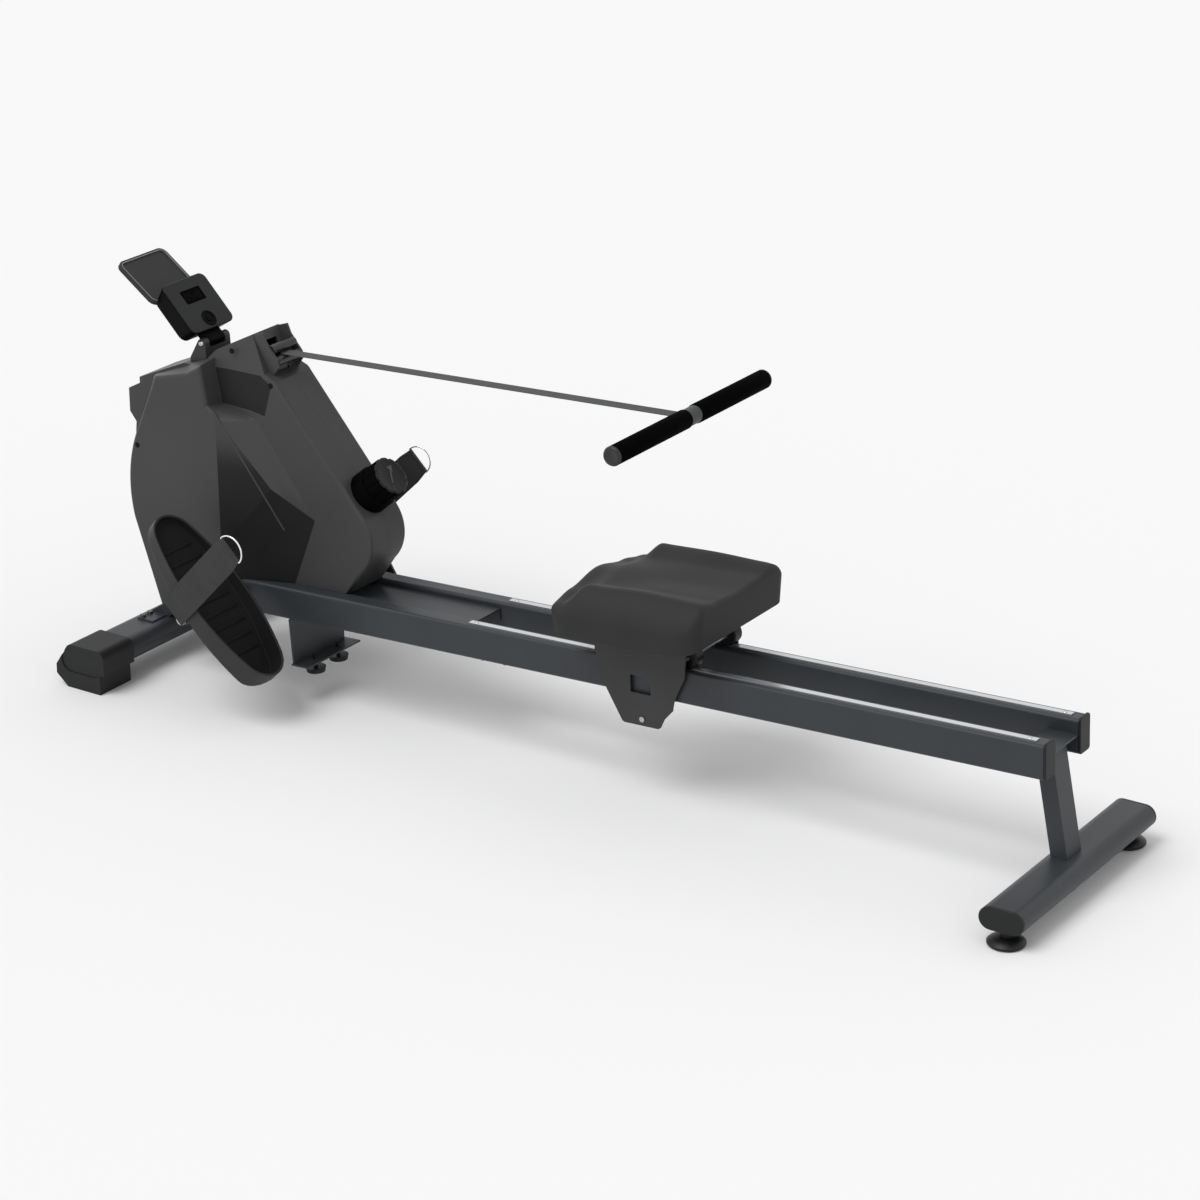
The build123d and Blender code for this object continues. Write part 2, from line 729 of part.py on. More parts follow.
with BuildPart() as mid_pads:
    with BuildSketch(rail_flat(mid_pad_s, mid_low - mid_pad_gap)):
        with Locations((0, -mid_pad_spacing / 2), (0, mid_pad_spacing / 2)):
            Circle(mid_pad_radius)
    extrude(amount=-mid_pad_height, taper=12)
    with BuildSketch(rail_flat(mid_pad_s, mid_low - mid_pad_gap)):
        with Locations((0, -mid_pad_spacing / 2), (0, mid_pad_spacing / 2)):
            Circle(mid_pad_stem_radius)
    extrude(amount=mid_pad_gap + mid_pad_height)
keep(mid_pads.part, "mid_pads")

# Housing points: the share along is from the nose, the share up is from the rail tops
housing_front_x = rail_front_x - housing_overhang


def housing_point(share):
    along, up = share
    x = housing_front_x + housing_length * along
    return x, rail_top(x) + housing_rise * up


def housing_points(shares):
    return [housing_point(share) for share in shares]


def ridge_face(plane, inset):
    front = housing_points(ridge_front_shares)
    nose = housing_points(ridge_nose_shares)
    slope_line = housing_points(ridge_slope_shares)
    top = housing_points(ridge_top_shares)
    with BuildSketch(plane) as face:
        with BuildLine():
            Line(front[0], front[1])
            ThreePointArc(front[1], front[2], front[3])
            Polyline(front[3], *top, housing_point(mouth_share), *slope_line)
            ThreePointArc(slope_line[1], nose[0], nose[1])
            Polyline(nose[1], housing_point(ridge_bottom_share), front[0])
        make_face()
        if inset > 0:
            offset(amount=-inset, kind=Kind.ARC, mode=Mode.REPLACE)
    return face.sketch


def inset_points(points, inset):
    # Each corner moves inward to where its two sides meet once they are moved in by the inset
    moved = []
    for before, corner, after in zip(points[-1:] + points[:-1], points, points[1:] + points[:1]):
        first = Vector(corner[0] - before[0], corner[1] - before[1]).normalized()
        second = Vector(after[0] - corner[0], after[1] - corner[1]).normalized()
        reach = inset / (1 + first.dot(second))
        moved.append((corner[0] - (first.Y + second.Y) * reach, corner[1] + (first.X + second.X) * reach))
    return moved


def cover_face(plane, front_shares, low_shares, rear_shares, inset):
    # The same corners with and without an inset, so that the wall between two lofts stays whole
    corners = inset_points(housing_points(front_shares + low_shares + rear_shares), inset)
    arc_end = len(front_shares) - 1
    with BuildSketch(plane) as face:
        with BuildLine():
            Line(corners[0], corners[1])
            ThreePointArc(*corners[1:arc_end + 1])
            Polyline(*corners[arc_end:], corners[0])
        make_face()
    return face.sketch


def ridge_body(inset):
    # One half of the ridge on the rower's left, or with an inset the hollow inside it
    start = housing_part_line if inset == 0 else -overrun
    with BuildPart() as body:
        extrude(ridge_face(Plane.XZ.offset(start), inset), amount=ridge_half_width - inset - start)
        with BuildSketch(Plane.YZ.offset(hump_low[0])):
            with BuildLine():
                Polyline((-ridge_half_width + inset, hump_low[1]),
                         (-hump_half_width + inset, hump_top[1]),
                         (-hump_half_width + inset, hump_top[1] + ridge_half_width),
                         (-2 * ridge_half_width, hump_top[1] + ridge_half_width),
                         (-2 * ridge_half_width, hump_low[1]), close=True)
            make_face()
        extrude(amount=hump_end[0] - hump_low[0] + ridge_half_width, mode=Mode.SUBTRACT)
    return body.part


def cover_body(inset):
    # The bulging side cover on the rower's left, or with an inset the hollow inside it
    inner = cover_face(Plane.XZ.offset(ridge_half_width - 2 * housing_wall), base_front_shares,
                       base_low_shares, base_rear_shares, inset)
    outer = cover_face(Plane.XZ.offset(cover_half_width - inset), cover_front_shares,
                       cover_low_shares, cover_rear_shares, inset)
    with BuildPart() as body:
        loft(sections=[inner.face(), outer.face()], ruled=True)
    return body.part


def cover_hollow():
    with BuildPart() as hollow:
        add(cover_body(housing_wall))
        add(facet_cutter(housing_wall), mode=Mode.SUBTRACT)
    return hollow.part


def cover_place(share, y):
    x, z = housing_point(share)
    return Vector(x, -y, z)


def facet_cutter(inset):
    # What the two flat facets take off the side cover, or with an inset off the hollow inside it
    crease_top = cover_place(facet_crease_shares[0], cover_half_width)
    crease_low = cover_place(facet_crease_shares[1], cover_half_width)
    fold_rear = cover_place(facet_fold_shares[0], cover_half_width - facet_depth_rear)
    fold_front = cover_place(facet_fold_shares[1], cover_half_width - facet_depth_front)
    foot = cover_place(facet_foot_share, ridge_half_width)
    with BuildPart() as cutter:
        for first, second, third in ((crease_top, crease_low, fold_rear), (fold_rear, fold_front, foot)):
            outward = (second - first).cross(third - first).normalized()
            if outward.Y > 0:
                outward = -outward
            with BuildSketch(Plane(origin=first, z_dir=outward).offset(-inset)):
                Rectangle(2 * housing_length, 2 * housing_length)
            extrude(amount=cover_half_width)
        with BuildSketch(Plane.XZ.offset(ridge_half_width - inset)):
            with Locations(housing_point(facet_crease_shares[1])):
                Rectangle(2 * housing_length, 2 * housing_length)
        extrude(amount=2 * cover_half_width, mode=Mode.INTERSECT)
    return cutter.part


hump_top = housing_point(ridge_top_shares[-1])
hump_low = housing_point(ridge_top_shares[5])
hump_end = housing_point(ridge_slope_shares[0])
mouth_low = Vector(housing_point(mouth_share)[0], 0, housing_point(mouth_share)[1])
mouth_top = Vector(hump_top[0], 0, hump_top[1])
mouth_up = (mouth_top - mouth_low).normalized()
mouth_out = Vector(mouth_up.Z, 0, -mouth_up.X)
mouth_length = (mouth_top - mouth_low).length
mouth_side = Plane(origin=mouth_low, x_dir=mouth_out, z_dir=(0, -1, 0))


knob_from = Vector(housing_point(ridge_slope_shares[0])[0], 0, housing_point(ridge_slope_shares[0])[1])
knob_to = Vector(housing_point(ridge_slope_shares[1])[0], 0, housing_point(ridge_slope_shares[1])[1])
slope_dir = (knob_to - knob_from).normalized()
knob_axis = Vector(-slope_dir.Z, 0, slope_dir.X)
knob_place = knob_from + (knob_to - knob_from) * knob_place_share
knob_plane = Plane(origin=knob_place, x_dir=(0, 1, 0), z_dir=knob_axis)

# Strap rollers, strap line and spool follow the mouth
roller_place = mouth_low + mouth_out * strap_roller_out + mouth_up * strap_roller_up
strap_bend = strap_roller_radius + seat_gap + strap_thickness / 2
strap_down_x = roller_place.X - strap_bend
spool_x = strap_down_x - strap_thickness / 2 - seat_gap - spool_radius
spool_z = roller_place.Z - spool_drop
handle_x = rail_rear_x - handle_from_rail_end
strap_rise = math.atan2(handle_height - roller_place.Z - strap_bend, handle_x - roller_place.X)
strap_dir = Vector(math.cos(strap_rise), 0, math.sin(strap_rise))
strap_up = Vector(-math.sin(strap_rise), 0, math.cos(strap_rise))

strap_slot_width = strap_width + 2 * outlet_plate

with BuildPart() as housing_left:
    add(ridge_body(0))
    slope_edges = housing_left.edges().filter_by_position(
        Axis.Y, -ridge_half_width - shaft_gap, -ridge_half_width + shaft_gap)
    slope_edges = slope_edges.filter_by(lambda e: e.center().X > hump_end[0])
    fillet(slope_edges, radius=ridge_edge_radius)
    add(cover_body(0))
    cover_edges = housing_left.edges().filter_by_position(
        Axis.Y, -cover_half_width - shaft_gap, -cover_half_width + shaft_gap)
    fillet(cover_edges, radius=cover_edge_radius)
    add(facet_cutter(0), mode=Mode.SUBTRACT)
    add(ridge_body(housing_wall), mode=Mode.SUBTRACT)
    add(cover_hollow(), mode=Mode.SUBTRACT)
    # open underside and the way for the rail
    with BuildSketch(rail_cross(rails_length)):
        with Locations((-rail_spacing / 2, -rail_height / 2)):
            Rectangle(rail_width + 2 * seat_gap, rail_height + 2 * seat_gap)
        with Locations((-(rail_inner + rail_spacing / 2) / 2, -rail_height / 2)):
            Rectangle(rail_spacing / 2 - rail_inner, rail_height + 2 * seat_gap)
    extrude(amount=housing_length, mode=Mode.SUBTRACT)
    with BuildSketch(rail_cross(rails_length - post_setback)):
        with Locations((-rail_inner / 2, -rail_height)):
            Rectangle(rail_inner + overrun, 2 * rail_height)
    extrude(amount=housing_length, mode=Mode.SUBTRACT)
    # notch round the front post
    with BuildSketch(Plane.XZ.offset(-overrun)):
        with BuildLine():
            Polyline((post_foot_front - post_sheet, saddle_z), (post_back_x, saddle_z),
                     (post_back_x, post_back_z + post_sheet), (post_top_x - post_sheet,
                                                              post_top_z + post_sheet),
                     close=True)
        make_face()
    extrude(amount=post_width / 2 + overrun + post_sheet, mode=Mode.SUBTRACT)
    # pedal axle, knob stub, strap slot and mouth window
    with BuildSketch(side_view(pedal_axle_x, pedal_axle_z)):
        Circle(pedal_axle_collar + seat_gap)
    extrude(amount=cover_half_width + overrun, mode=Mode.SUBTRACT)
    with BuildSketch(knob_plane.offset(-2 * housing_wall)):
        Circle(knob_stub_radius + seat_gap)
    extrude(amount=4 * housing_wall, mode=Mode.SUBTRACT)
    with BuildSketch(side_view(strap_down_x, roller_place.Z - 2 * strap_roller_radius)):
        Rectangle(2 * outlet_plate, 4 * strap_roller_radius)
    extrude(amount=strap_slot_width / 2, mode=Mode.SUBTRACT)
    with BuildSketch(mouth_side):
        with Locations((0, mouth_length / 2)):
            Rectangle(4 * housing_wall, mouth_length / 2)
    extrude(amount=strap_slot_width / 2, mode=Mode.SUBTRACT)
    # recessed dark panel
    with BuildSketch(Plane.XZ.offset(ridge_half_width - panel_depth)):
        with BuildLine():
            Polyline(*housing_points(panel_shares), close=True)
        make_face()
    extrude(amount=panel_depth, mode=Mode.SUBTRACT)
keep(housing_left.part, "housing_left")

with BuildPart() as housing_right:
    mirror(housing_left.part, about=Plane.XZ)
keep(housing_right.part, "housing_right")


# Solid outline of the ridge, to seat what stands on it
with BuildPart() as ridge_solid:
    extrude(ridge_face(Plane.XZ, 0), amount=cover_half_width, both=True)

# Strap outlet: back plate on the mouth, two cheeks, pins for the two strap rollers
outlet_points = [(outlet_lip * out, mouth_length * up) for out, up in cheek_shares]
roller_half = outlet_half_width - outlet_cheek - seat_gap
upper_roller = roller_place + strap_up * (2 * strap_bend) - strap_dir * strap_roller_back
with BuildPart() as strap_outlet:
    for side, hand in sides:
        with BuildSketch(mouth_side.offset(-side * outlet_half_width)):
            with BuildLine():
                Polyline(*outlet_points, close=True)
            make_face()
        extrude(amount=side * outlet_cheek)
    with BuildSketch(mouth_side):
        with Locations((outlet_plate / 2, mouth_length * outlet_plate_middle_share)):
            Rectangle(outlet_plate, mouth_length * outlet_plate_share)
    extrude(amount=outlet_half_width, both=True)
    with BuildSketch(mouth_side):
        with Locations((0, mouth_length / 2)):
            Rectangle(4 * housing_wall, mouth_length / 2)
    extrude(amount=strap_slot_width / 2, both=True, mode=Mode.SUBTRACT)
    with BuildSketch(side_view(strap_down_x, roller_place.Z - 2 * strap_roller_radius)):
        Rectangle(2 * outlet_plate, 4 * strap_roller_radius)
    extrude(amount=strap_slot_width / 2, both=True, mode=Mode.SUBTRACT)
    for place in (roller_place, upper_roller):
        with BuildSketch(side_view(place.X, place.Z)):
            Circle(strap_roller_pin)
        extrude(amount=outlet_half_width - outlet_cheek / 2, both=True)
    add(ridge_solid.part, mode=Mode.SUBTRACT)
keep(strap_outlet.part, "strap_outlet")

for place, level in ((roller_place, "lower"), (upper_roller, "upper")):
    with BuildPart() as guide_roller:
        with BuildSketch(side_view(place.X, place.Z)):
            Circle(strap_roller_radius)
            Circle(strap_roller_pin + shaft_gap, mode=Mode.SUBTRACT)
        extrude(amount=roller_half, both=True)
    keep(guide_roller.part, f"guide_roller_{level}")

# Pull strap: up from the spool, a quarter turn over the lower roller, straight to the handle
strap_end = Vector(handle_x, 0, handle_height) - strap_dir * (collar_radius + collar_tongue + seat_gap)
strap_corner = Vector(strap_down_x, 0, roller_place.Z + strap_bend
                      + (strap_down_x - roller_place.X) * math.tan(strap_rise))
strap_start = Vector(strap_down_x, 0, spool_z)
with BuildPart() as pull_strap:
    with BuildLine() as strap_route:
        FilletPolyline(strap_start, strap_corner, strap_end, radius=strap_bend)
    with BuildSketch(Plane(origin=strap_start, x_dir=(0, 1, 0), z_dir=(0, 0, 1))):
        Rectangle(strap_width, strap_thickness)
    sweep()
keep(pull_strap.part, "pull_strap")
strap_volume = strap_width * strap_thickness * strap_route.wire().length
print("pull strap radius", round(strap_bend, 2), "length", round(strap_route.wire().length, 1),
      "volume", round(pull_strap.part.volume, 1), "section times length", round(strap_volume, 1))

# Handle: bar, two foam grips, end caps and the collar that holds the strap
handle_half = handle_length / 2
handle_view = side_view(handle_x, handle_height)
with BuildPart() as handle_bar:
    with BuildSketch(handle_view):
        Circle(handle_bar_radius)
        Circle(handle_bar_radius - handle_bar_wall, mode=Mode.SUBTRACT)
    extrude(amount=handle_half - grip_end, both=True)
keep(handle_bar.part, "handle_bar")

with BuildPart() as handle_grips:
    for side, hand in sides:
        with BuildSketch(side_view(handle_x, handle_height, side * collar_width / 2)):
            Circle(grip_radius)
            Circle(handle_bar_radius, mode=Mode.SUBTRACT)
        extrude(amount=-side * (handle_half - grip_end - collar_width / 2))
keep(handle_grips.part, "handle_grips")

with BuildPart() as handle_end_caps:
    for side, hand in sides:
        with BuildSketch(side_view(handle_x, handle_height, side * (handle_half - grip_end))):
            Circle(grip_radius)
        extrude(amount=-side * grip_end)
        with BuildSketch(side_view(handle_x, handle_height, side * (handle_half - grip_end))):
            Circle(handle_bar_radius - handle_bar_wall)
        extrude(amount=side * 3 * grip_end)
    cap_rims = handle_end_caps.edges().filter_by(GeomType.CIRCLE)
    cap_rims = cap_rims.filter_by(lambda e: abs(e.center().Y) > handle_half - shaft_gap)
    fillet(cap_rims, radius=grip_dome)
keep(handle_end_caps.part, "handle_end_caps")

with BuildPart() as handle_collar:
    with BuildSketch(handle_view):
        Circle(collar_radius)
    extrude(amount=collar_width / 2, both=True)
    with BuildSketch(Plane(origin=(handle_x, 0, handle_height), x_dir=strap_dir, z_dir=(0, -1, 0))):
        with Locations((-(collar_radius + collar_tongue) / 2, 0)):
            Rectangle(collar_radius + collar_tongue, collar_tongue_height)
    extrude(amount=strap_width / 2, both=True)
    with BuildSketch(handle_view):
        Circle(handle_bar_radius)
    extrude(amount=collar_width / 2, both=True, mode=Mode.SUBTRACT)
keep(handle_collar.part, "handle_collar")

# Flywheel place, below and in front of the spool
wheel_gap = flywheel_radius + spool_radius + flywheel_clearance
fly_x = spool_x + wheel_gap * math.cos(math.radians(flywheel_angle))
fly_z = spool_z + wheel_gap * math.sin(math.radians(flywheel_angle))
arm_angle = math.radians(arm_pivot_angle)
arm_x = fly_x + arm_pivot_radius * math.cos(arm_angle)
arm_z = fly_z + arm_pivot_radius * math.sin(arm_angle)

# Mast: two plates on the rails' inner faces, with the axles of flywheel, spool and magnet arm
mast_front_s = rails_length - mast_base_front
mast_base = [
    rail_point(mast_front_s, -mast_grip), rail_point(mast_front_s, mast_base_rise),
    rail_point(mast_front_s - mast_base_length, mast_base_rise),
    rail_point(mast_front_s - mast_base_length, -mast_grip)]
cable_end_y = -(rail_inner - mast_sheet - cable_stop_size / 2)
cable_end_z = fly_z + cable_stop_size
cable_stop_x = fly_x + flywheel_radius - cable_stop_sheet
with BuildPart() as mast:
    for side, hand in sides:
        with BuildSketch(Plane.XZ.offset(-side * rail_inner)):
            with Locations((fly_x, fly_z)):
                Circle(mast_flywheel_eye)
            with Locations((spool_x, spool_z)):
                Circle(mast_spool_eye)
            with Locations((arm_x, arm_z)):
                Circle(arm_eye_radius)
            with Locations((cable_stop_x, cable_end_z)):
                Circle(cable_stop_size / 2)
            with BuildLine():
                Polyline(*mast_base, close=True)
            make_face()
            make_hull()
            with Locations((pedal_axle_x, pedal_axle_z)):
                Circle(pedal_axle_radius + shaft_gap, mode=Mode.SUBTRACT)
        extrude(amount=side * mast_sheet)
    for x, z, radius in ((fly_x, fly_z, axle_radius), (spool_x, spool_z, axle_radius),
                         (arm_x, arm_z, arm_pin_radius)):
        with BuildSketch(side_view(x, z)):
            Circle(radius)
        extrude(amount=rail_inner, both=True)
    with BuildSketch(side_view(cable_stop_x, cable_end_z, -rail_inner + mast_sheet)):
        Rectangle(cable_stop_sheet, cable_stop_size)
    extrude(amount=-cable_stop_size)
keep(mast.part, "mast")

with BuildPart() as strap_spool:
    with BuildSketch(side_view(spool_x, spool_z)):
        Circle(spool_radius)
    extrude(amount=spool_width / 2 - spool_flange_sheet, both=True)
    for side, hand in sides:
        with BuildSketch(side_view(spool_x, spool_z, side * spool_width / 2)):
            Circle(spool_radius + spool_flange)
        extrude(amount=side * spool_flange_sheet)
    with BuildSketch(side_view(spool_x, spool_z)):
        Circle(axle_radius + shaft_gap)
    extrude(amount=spool_width, both=True, mode=Mode.SUBTRACT)
keep(strap_spool.part, "strap_spool")

pulley_middle = pulley_offset + pulley_width / 2
with BuildPart() as drive_pulley:
    with BuildSketch(side_view(spool_x, spool_z, pulley_middle)):
        Circle(pulley_radius)
        Circle(pulley_radius - pulley_rim, mode=Mode.SUBTRACT)
    extrude(amount=pulley_width / 2, both=True)
    with BuildSketch(side_view(spool_x, spool_z, pulley_middle)):
        Circle(pulley_radius - pulley_rim)
        with PolarLocations((pulley_radius - pulley_rim + pulley_hub_radius) / 2, 6):
            Circle(pulley_hub_radius, mode=Mode.SUBTRACT)
    extrude(amount=pulley_web / 2, both=True)
    with BuildSketch(side_view(spool_x, spool_z, pulley_middle)):
        Circle(pulley_hub_radius)
    extrude(amount=pulley_width / 2, both=True)
    with BuildSketch(side_view(spool_x, spool_z, pulley_middle)):
        Circle(axle_radius + shaft_gap)
    extrude(amount=pulley_width, both=True, mode=Mode.SUBTRACT)
keep(drive_pulley.part, "drive_pulley")

with BuildPart() as flywheel:
    with BuildSketch(side_view(fly_x, fly_z)):
        Circle(flywheel_radius)
        Circle(flywheel_radius - flywheel_rim, mode=Mode.SUBTRACT)
    extrude(amount=flywheel_width / 2, both=True)
    with BuildSketch(side_view(fly_x, fly_z)):
        Circle(flywheel_radius - flywheel_rim)
    extrude(amount=flywheel_web / 2, both=True)
    with BuildSketch(side_view(fly_x, fly_z, pulley_offset)):
        Circle(flywheel_hub_radius)
    extrude(amount=pulley_offset + flywheel_width / 2)
    with BuildSketch(side_view(fly_x, fly_z, pulley_middle)):
        Circle(flywheel_pulley_radius)
    extrude(amount=pulley_width / 2, both=True)
    with BuildSketch(side_view(fly_x, fly_z, pulley_middle)):
        Circle(axle_radius + shaft_gap)
    extrude(amount=flywheel_radius, both=True, mode=Mode.SUBTRACT)
keep(flywheel.part, "flywheel")

with BuildPart() as drive_belt:
    with BuildSketch(side_view(spool_x, spool_z, pulley_middle)):
        with BuildSketch() as belt_outer:
            Circle(pulley_radius + seat_gap + belt_thickness)
            with Locations((fly_x - spool_x, fly_z - spool_z)):
                Circle(flywheel_pulley_radius + seat_gap + belt_thickness)
            make_hull()
    extrude(amount=belt_width / 2, both=True)
    with BuildSketch(side_view(spool_x, spool_z, pulley_middle)):
        Circle(pulley_radius + seat_gap)
        with Locations((fly_x - spool_x, fly_z - spool_z)):
            Circle(flywheel_pulley_radius + seat_gap)
        make_hull()
    extrude(amount=belt_width, both=True, mode=Mode.SUBTRACT)
keep(drive_belt.part, "drive_belt")


def arm_sector(plane, inner, outer, first, last):
    # A ring sector about the plane's origin between two angles in degrees
    with BuildSketch(plane) as sector:
        Circle(outer)
        Circle(inner, mode=Mode.SUBTRACT)
        with BuildLine():
            Polyline((0, 0),
                     (2 * outer * math.cos(math.radians(first)), 2 * outer * math.sin(math.radians(first))),
                     (2 * outer * math.cos(math.radians(last)), 2 * outer * math.sin(math.radians(last))),
                     close=True)
        make_face(mode=Mode.INTERSECT)
    return sector.sketch


magnet_inner = flywheel_radius + magnet_gap
arm_inner = magnet_inner + magnet_thickness
magnet_first = arm_pivot_angle + math.degrees(2 * arm_eye_radius / arm_inner)
with BuildPart() as magnet_arm:
    arm_plane = side_view(fly_x, fly_z)
    extrude(arm_sector(arm_plane, arm_inner, arm_inner + arm_thickness, arm_pivot_angle, arm_tip_angle),
            amount=arm_width / 2, both=True)
    extrude(arm_sector(arm_plane, magnet_inner, arm_inner + shaft_gap, magnet_first, arm_tip_angle),
            amount=flywheel_width / 2, both=True)
    with BuildSketch(side_view(arm_x, arm_z)):
        Circle(arm_eye_radius)
    extrude(amount=arm_width / 2, both=True)
    with BuildSketch(side_view(arm_x, arm_z)):
        Circle(arm_pin_radius + shaft_gap)
    extrude(amount=arm_width, both=True, mode=Mode.SUBTRACT)
keep(magnet_arm.part, "magnet_arm")

# Resistance knob on its round base
with BuildPart() as knob_base:
    with BuildSketch(knob_plane):
        Circle(knob_base_radius)
    extrude(amount=knob_base_height)
    fillet(knob_base.faces().sort_by(Axis(knob_place, knob_axis))[-1].edges(), radius=knob_base_round)
    with BuildSketch(knob_plane):
        Circle(knob_stub_radius)
    extrude(amount=-knob_stub_length)
    with BuildSketch(knob_plane.offset(knob_base_height)):
        Circle(knob_pin_radius)
    extrude(amount=knob_pin_length)
keep(knob_base.part, "knob_base")

with BuildPart() as tension_knob:
    with BuildSketch(knob_plane.offset(knob_base_height + seat_gap)):
        Circle(knob_radius)
        with PolarLocations(knob_radius + knob_flute_radius / 2, knob_flutes):
            Circle(knob_flute_radius, mode=Mode.SUBTRACT)
    extrude(amount=knob_height - knob_round)
    with BuildSketch(knob_plane.offset(knob_base_height + seat_gap + knob_height - knob_round)):
        Circle(knob_radius)
    extrude(amount=knob_round)
    chamfer(tension_knob.faces().sort_by(Axis(knob_place, knob_axis))[-1].edges(), knob_round / 2)
    with BuildSketch(knob_plane.offset(knob_base_height)):
        Circle(knob_pin_radius + shaft_gap)
    extrude(amount=knob_pin_length + seat_gap, mode=Mode.SUBTRACT)
keep(tension_knob.part, "tension_knob")

# Brake cable from the knob's stub to the stop on the mast
cable_start = knob_place - knob_axis * knob_stub_length
cable_face = Vector(cable_stop_x + cable_stop_sheet / 2, cable_end_y, cable_end_z)
cable_points = [
    cable_start, cable_start - knob_axis * cable_first_run,
    Vector(cable_face.X + cable_bend_run * 2, cable_end_y / 2, cable_end_z - cable_stop_size),
    Vector(cable_face.X + cable_bend_run, cable_end_y, cable_end_z), cable_face]
cable_radii = []
for before, corner, after in zip(cable_points, cable_points[1:], cable_points[2:]):
    turn = math.radians((corner - before).get_angle(after - corner))
    shorter = min((corner - before).length, (after - corner).length)
    cable_radii.append(0.45 * shorter / math.tan(turn / 2))
with BuildPart() as brake_cable:
    with BuildLine() as cable_route:
        FilletPolyline(*cable_points, radius=cable_radii)
    with BuildSketch(Plane(origin=cable_start, x_dir=(0, 1, 0), z_dir=-knob_axis)):
        Circle(cable_radius)
    sweep()
keep(brake_cable.part, "brake_cable")
cable_volume = math.pi * cable_radius ** 2 * cable_route.wire().length
print("cable radii", [round(r, 1) for r in cable_radii], "length", round(cable_route.wire().length, 1),
      "volume", round(brake_cable.part.volume, 1), "section times length", round(cable_volume, 1))

# Console neck on the flat of the housing, with the hinge pin
hinge_x = hump_low[0] - neck_hinge_back
hinge_z = hump_low[1] + neck_hinge_rise
with BuildPart() as console_neck:
    with BuildSketch(Plane.XZ):
        with Locations((hinge_x, hinge_z)):
            Circle(neck_barrel)
        with BuildLine():
            Polyline((hump_low[0] - neck_base_length, hump_low[1] - neck_barrel),
                     (hump_low[0] - seat_gap, hump_low[1] - neck_barrel),
                     (hump_low[0] - seat_gap, hump_low[1] + neck_barrel),
                     (hump_low[0] - neck_base_length, hump_low[1] + neck_barrel / 2), close=True)
        make_face()
        make_hull()
    extrude(amount=neck_half_width, both=True)
    with BuildSketch(Plane.XZ):
        with Locations((hinge_x, hinge_z)):
            Circle(lug_barrel + neck_barrel / 2)
        with Locations((hinge_x, hinge_z + 2 * neck_barrel)):
            Rectangle(8 * neck_barrel, 4 * neck_barrel)
    extrude(amount=lug_half_width + seat_gap, both=True, mode=Mode.SUBTRACT)
    with BuildSketch(Plane.XZ):
        with Locations((hinge_x, hinge_z)):
            Circle(neck_pin_radius)
    extrude(amount=neck_half_width, both=True)
    add(ridge_solid.part, mode=Mode.SUBTRACT)
keep(console_neck.part, "console_neck")

# Console, tilting on the neck's pin
tilt = math.radians(console_tilt)
console_up = Vector(-math.cos(tilt), 0, math.sin(tilt))
console_out = Vector(math.sin(tilt), 0, math.cos(tilt))
hinge = Vector(hinge_x, 0, hinge_z)
console_face = Plane(origin=hinge + console_up * console_rise + console_out * console_front,
                     x_dir=(0, 1, 0), z_dir=console_out)
lug_reach = console_rise - console_length / 2 + console_taper
button_depth = button_height - button_proud
with BuildPart() as console_body:
    with BuildSketch(console_face.offset(-console_depth)):
        RectangleRounded(console_width - 2 * console_taper, console_length - 2 * console_taper,
                         console_corner)
    with BuildSketch(console_face):
        RectangleRounded(console_width, console_length, console_corner)
    loft()
    fillet(console_body.faces().sort_by(Axis(hinge, console_out))[-1].edges(), radius=console_edge_round)
    with BuildSketch(console_face):
        with Locations((0, screen_up)):
            RectangleRounded(screen_width, screen_height, screen_pocket)
        with Locations((0, -button_down)):
            Circle(button_radius + seat_gap)
    extrude(amount=-screen_pocket, mode=Mode.SUBTRACT)
    with BuildSketch(console_face):
        with Locations((0, -button_down)):
            Circle(button_radius + seat_gap)
    extrude(amount=-button_pocket, mode=Mode.SUBTRACT)
    with BuildSketch(Plane(origin=hinge, x_dir=console_out, z_dir=(0, -1, 0))):
        Circle(lug_barrel)
        with Locations((0, lug_reach / 2)):
            Rectangle(2 * lug_barrel, lug_reach)
        Circle(neck_pin_radius + shaft_gap, mode=Mode.SUBTRACT)
    extrude(amount=lug_half_width, both=True)
keep(console_body.part, "console_body")

with BuildPart() as console_screen:
    with BuildSketch(console_face.offset(-screen_pocket)):
        with Locations((0, screen_up)):
            RectangleRounded(screen_width - 2 * seat_gap, screen_height - 2 * seat_gap, screen_pocket)
    extrude(amount=screen_thickness)
keep(console_screen.part, "console_screen")

with BuildPart() as console_button:
    with BuildSketch(console_face.offset(-button_depth)):
        with Locations((0, -button_down)):
            Circle(button_radius)
    extrude(amount=button_height)
    fillet(console_button.faces().sort_by(Axis(hinge, console_out))[-1].edges(), radius=button_proud / 2)
keep(console_button.part, "console_button")

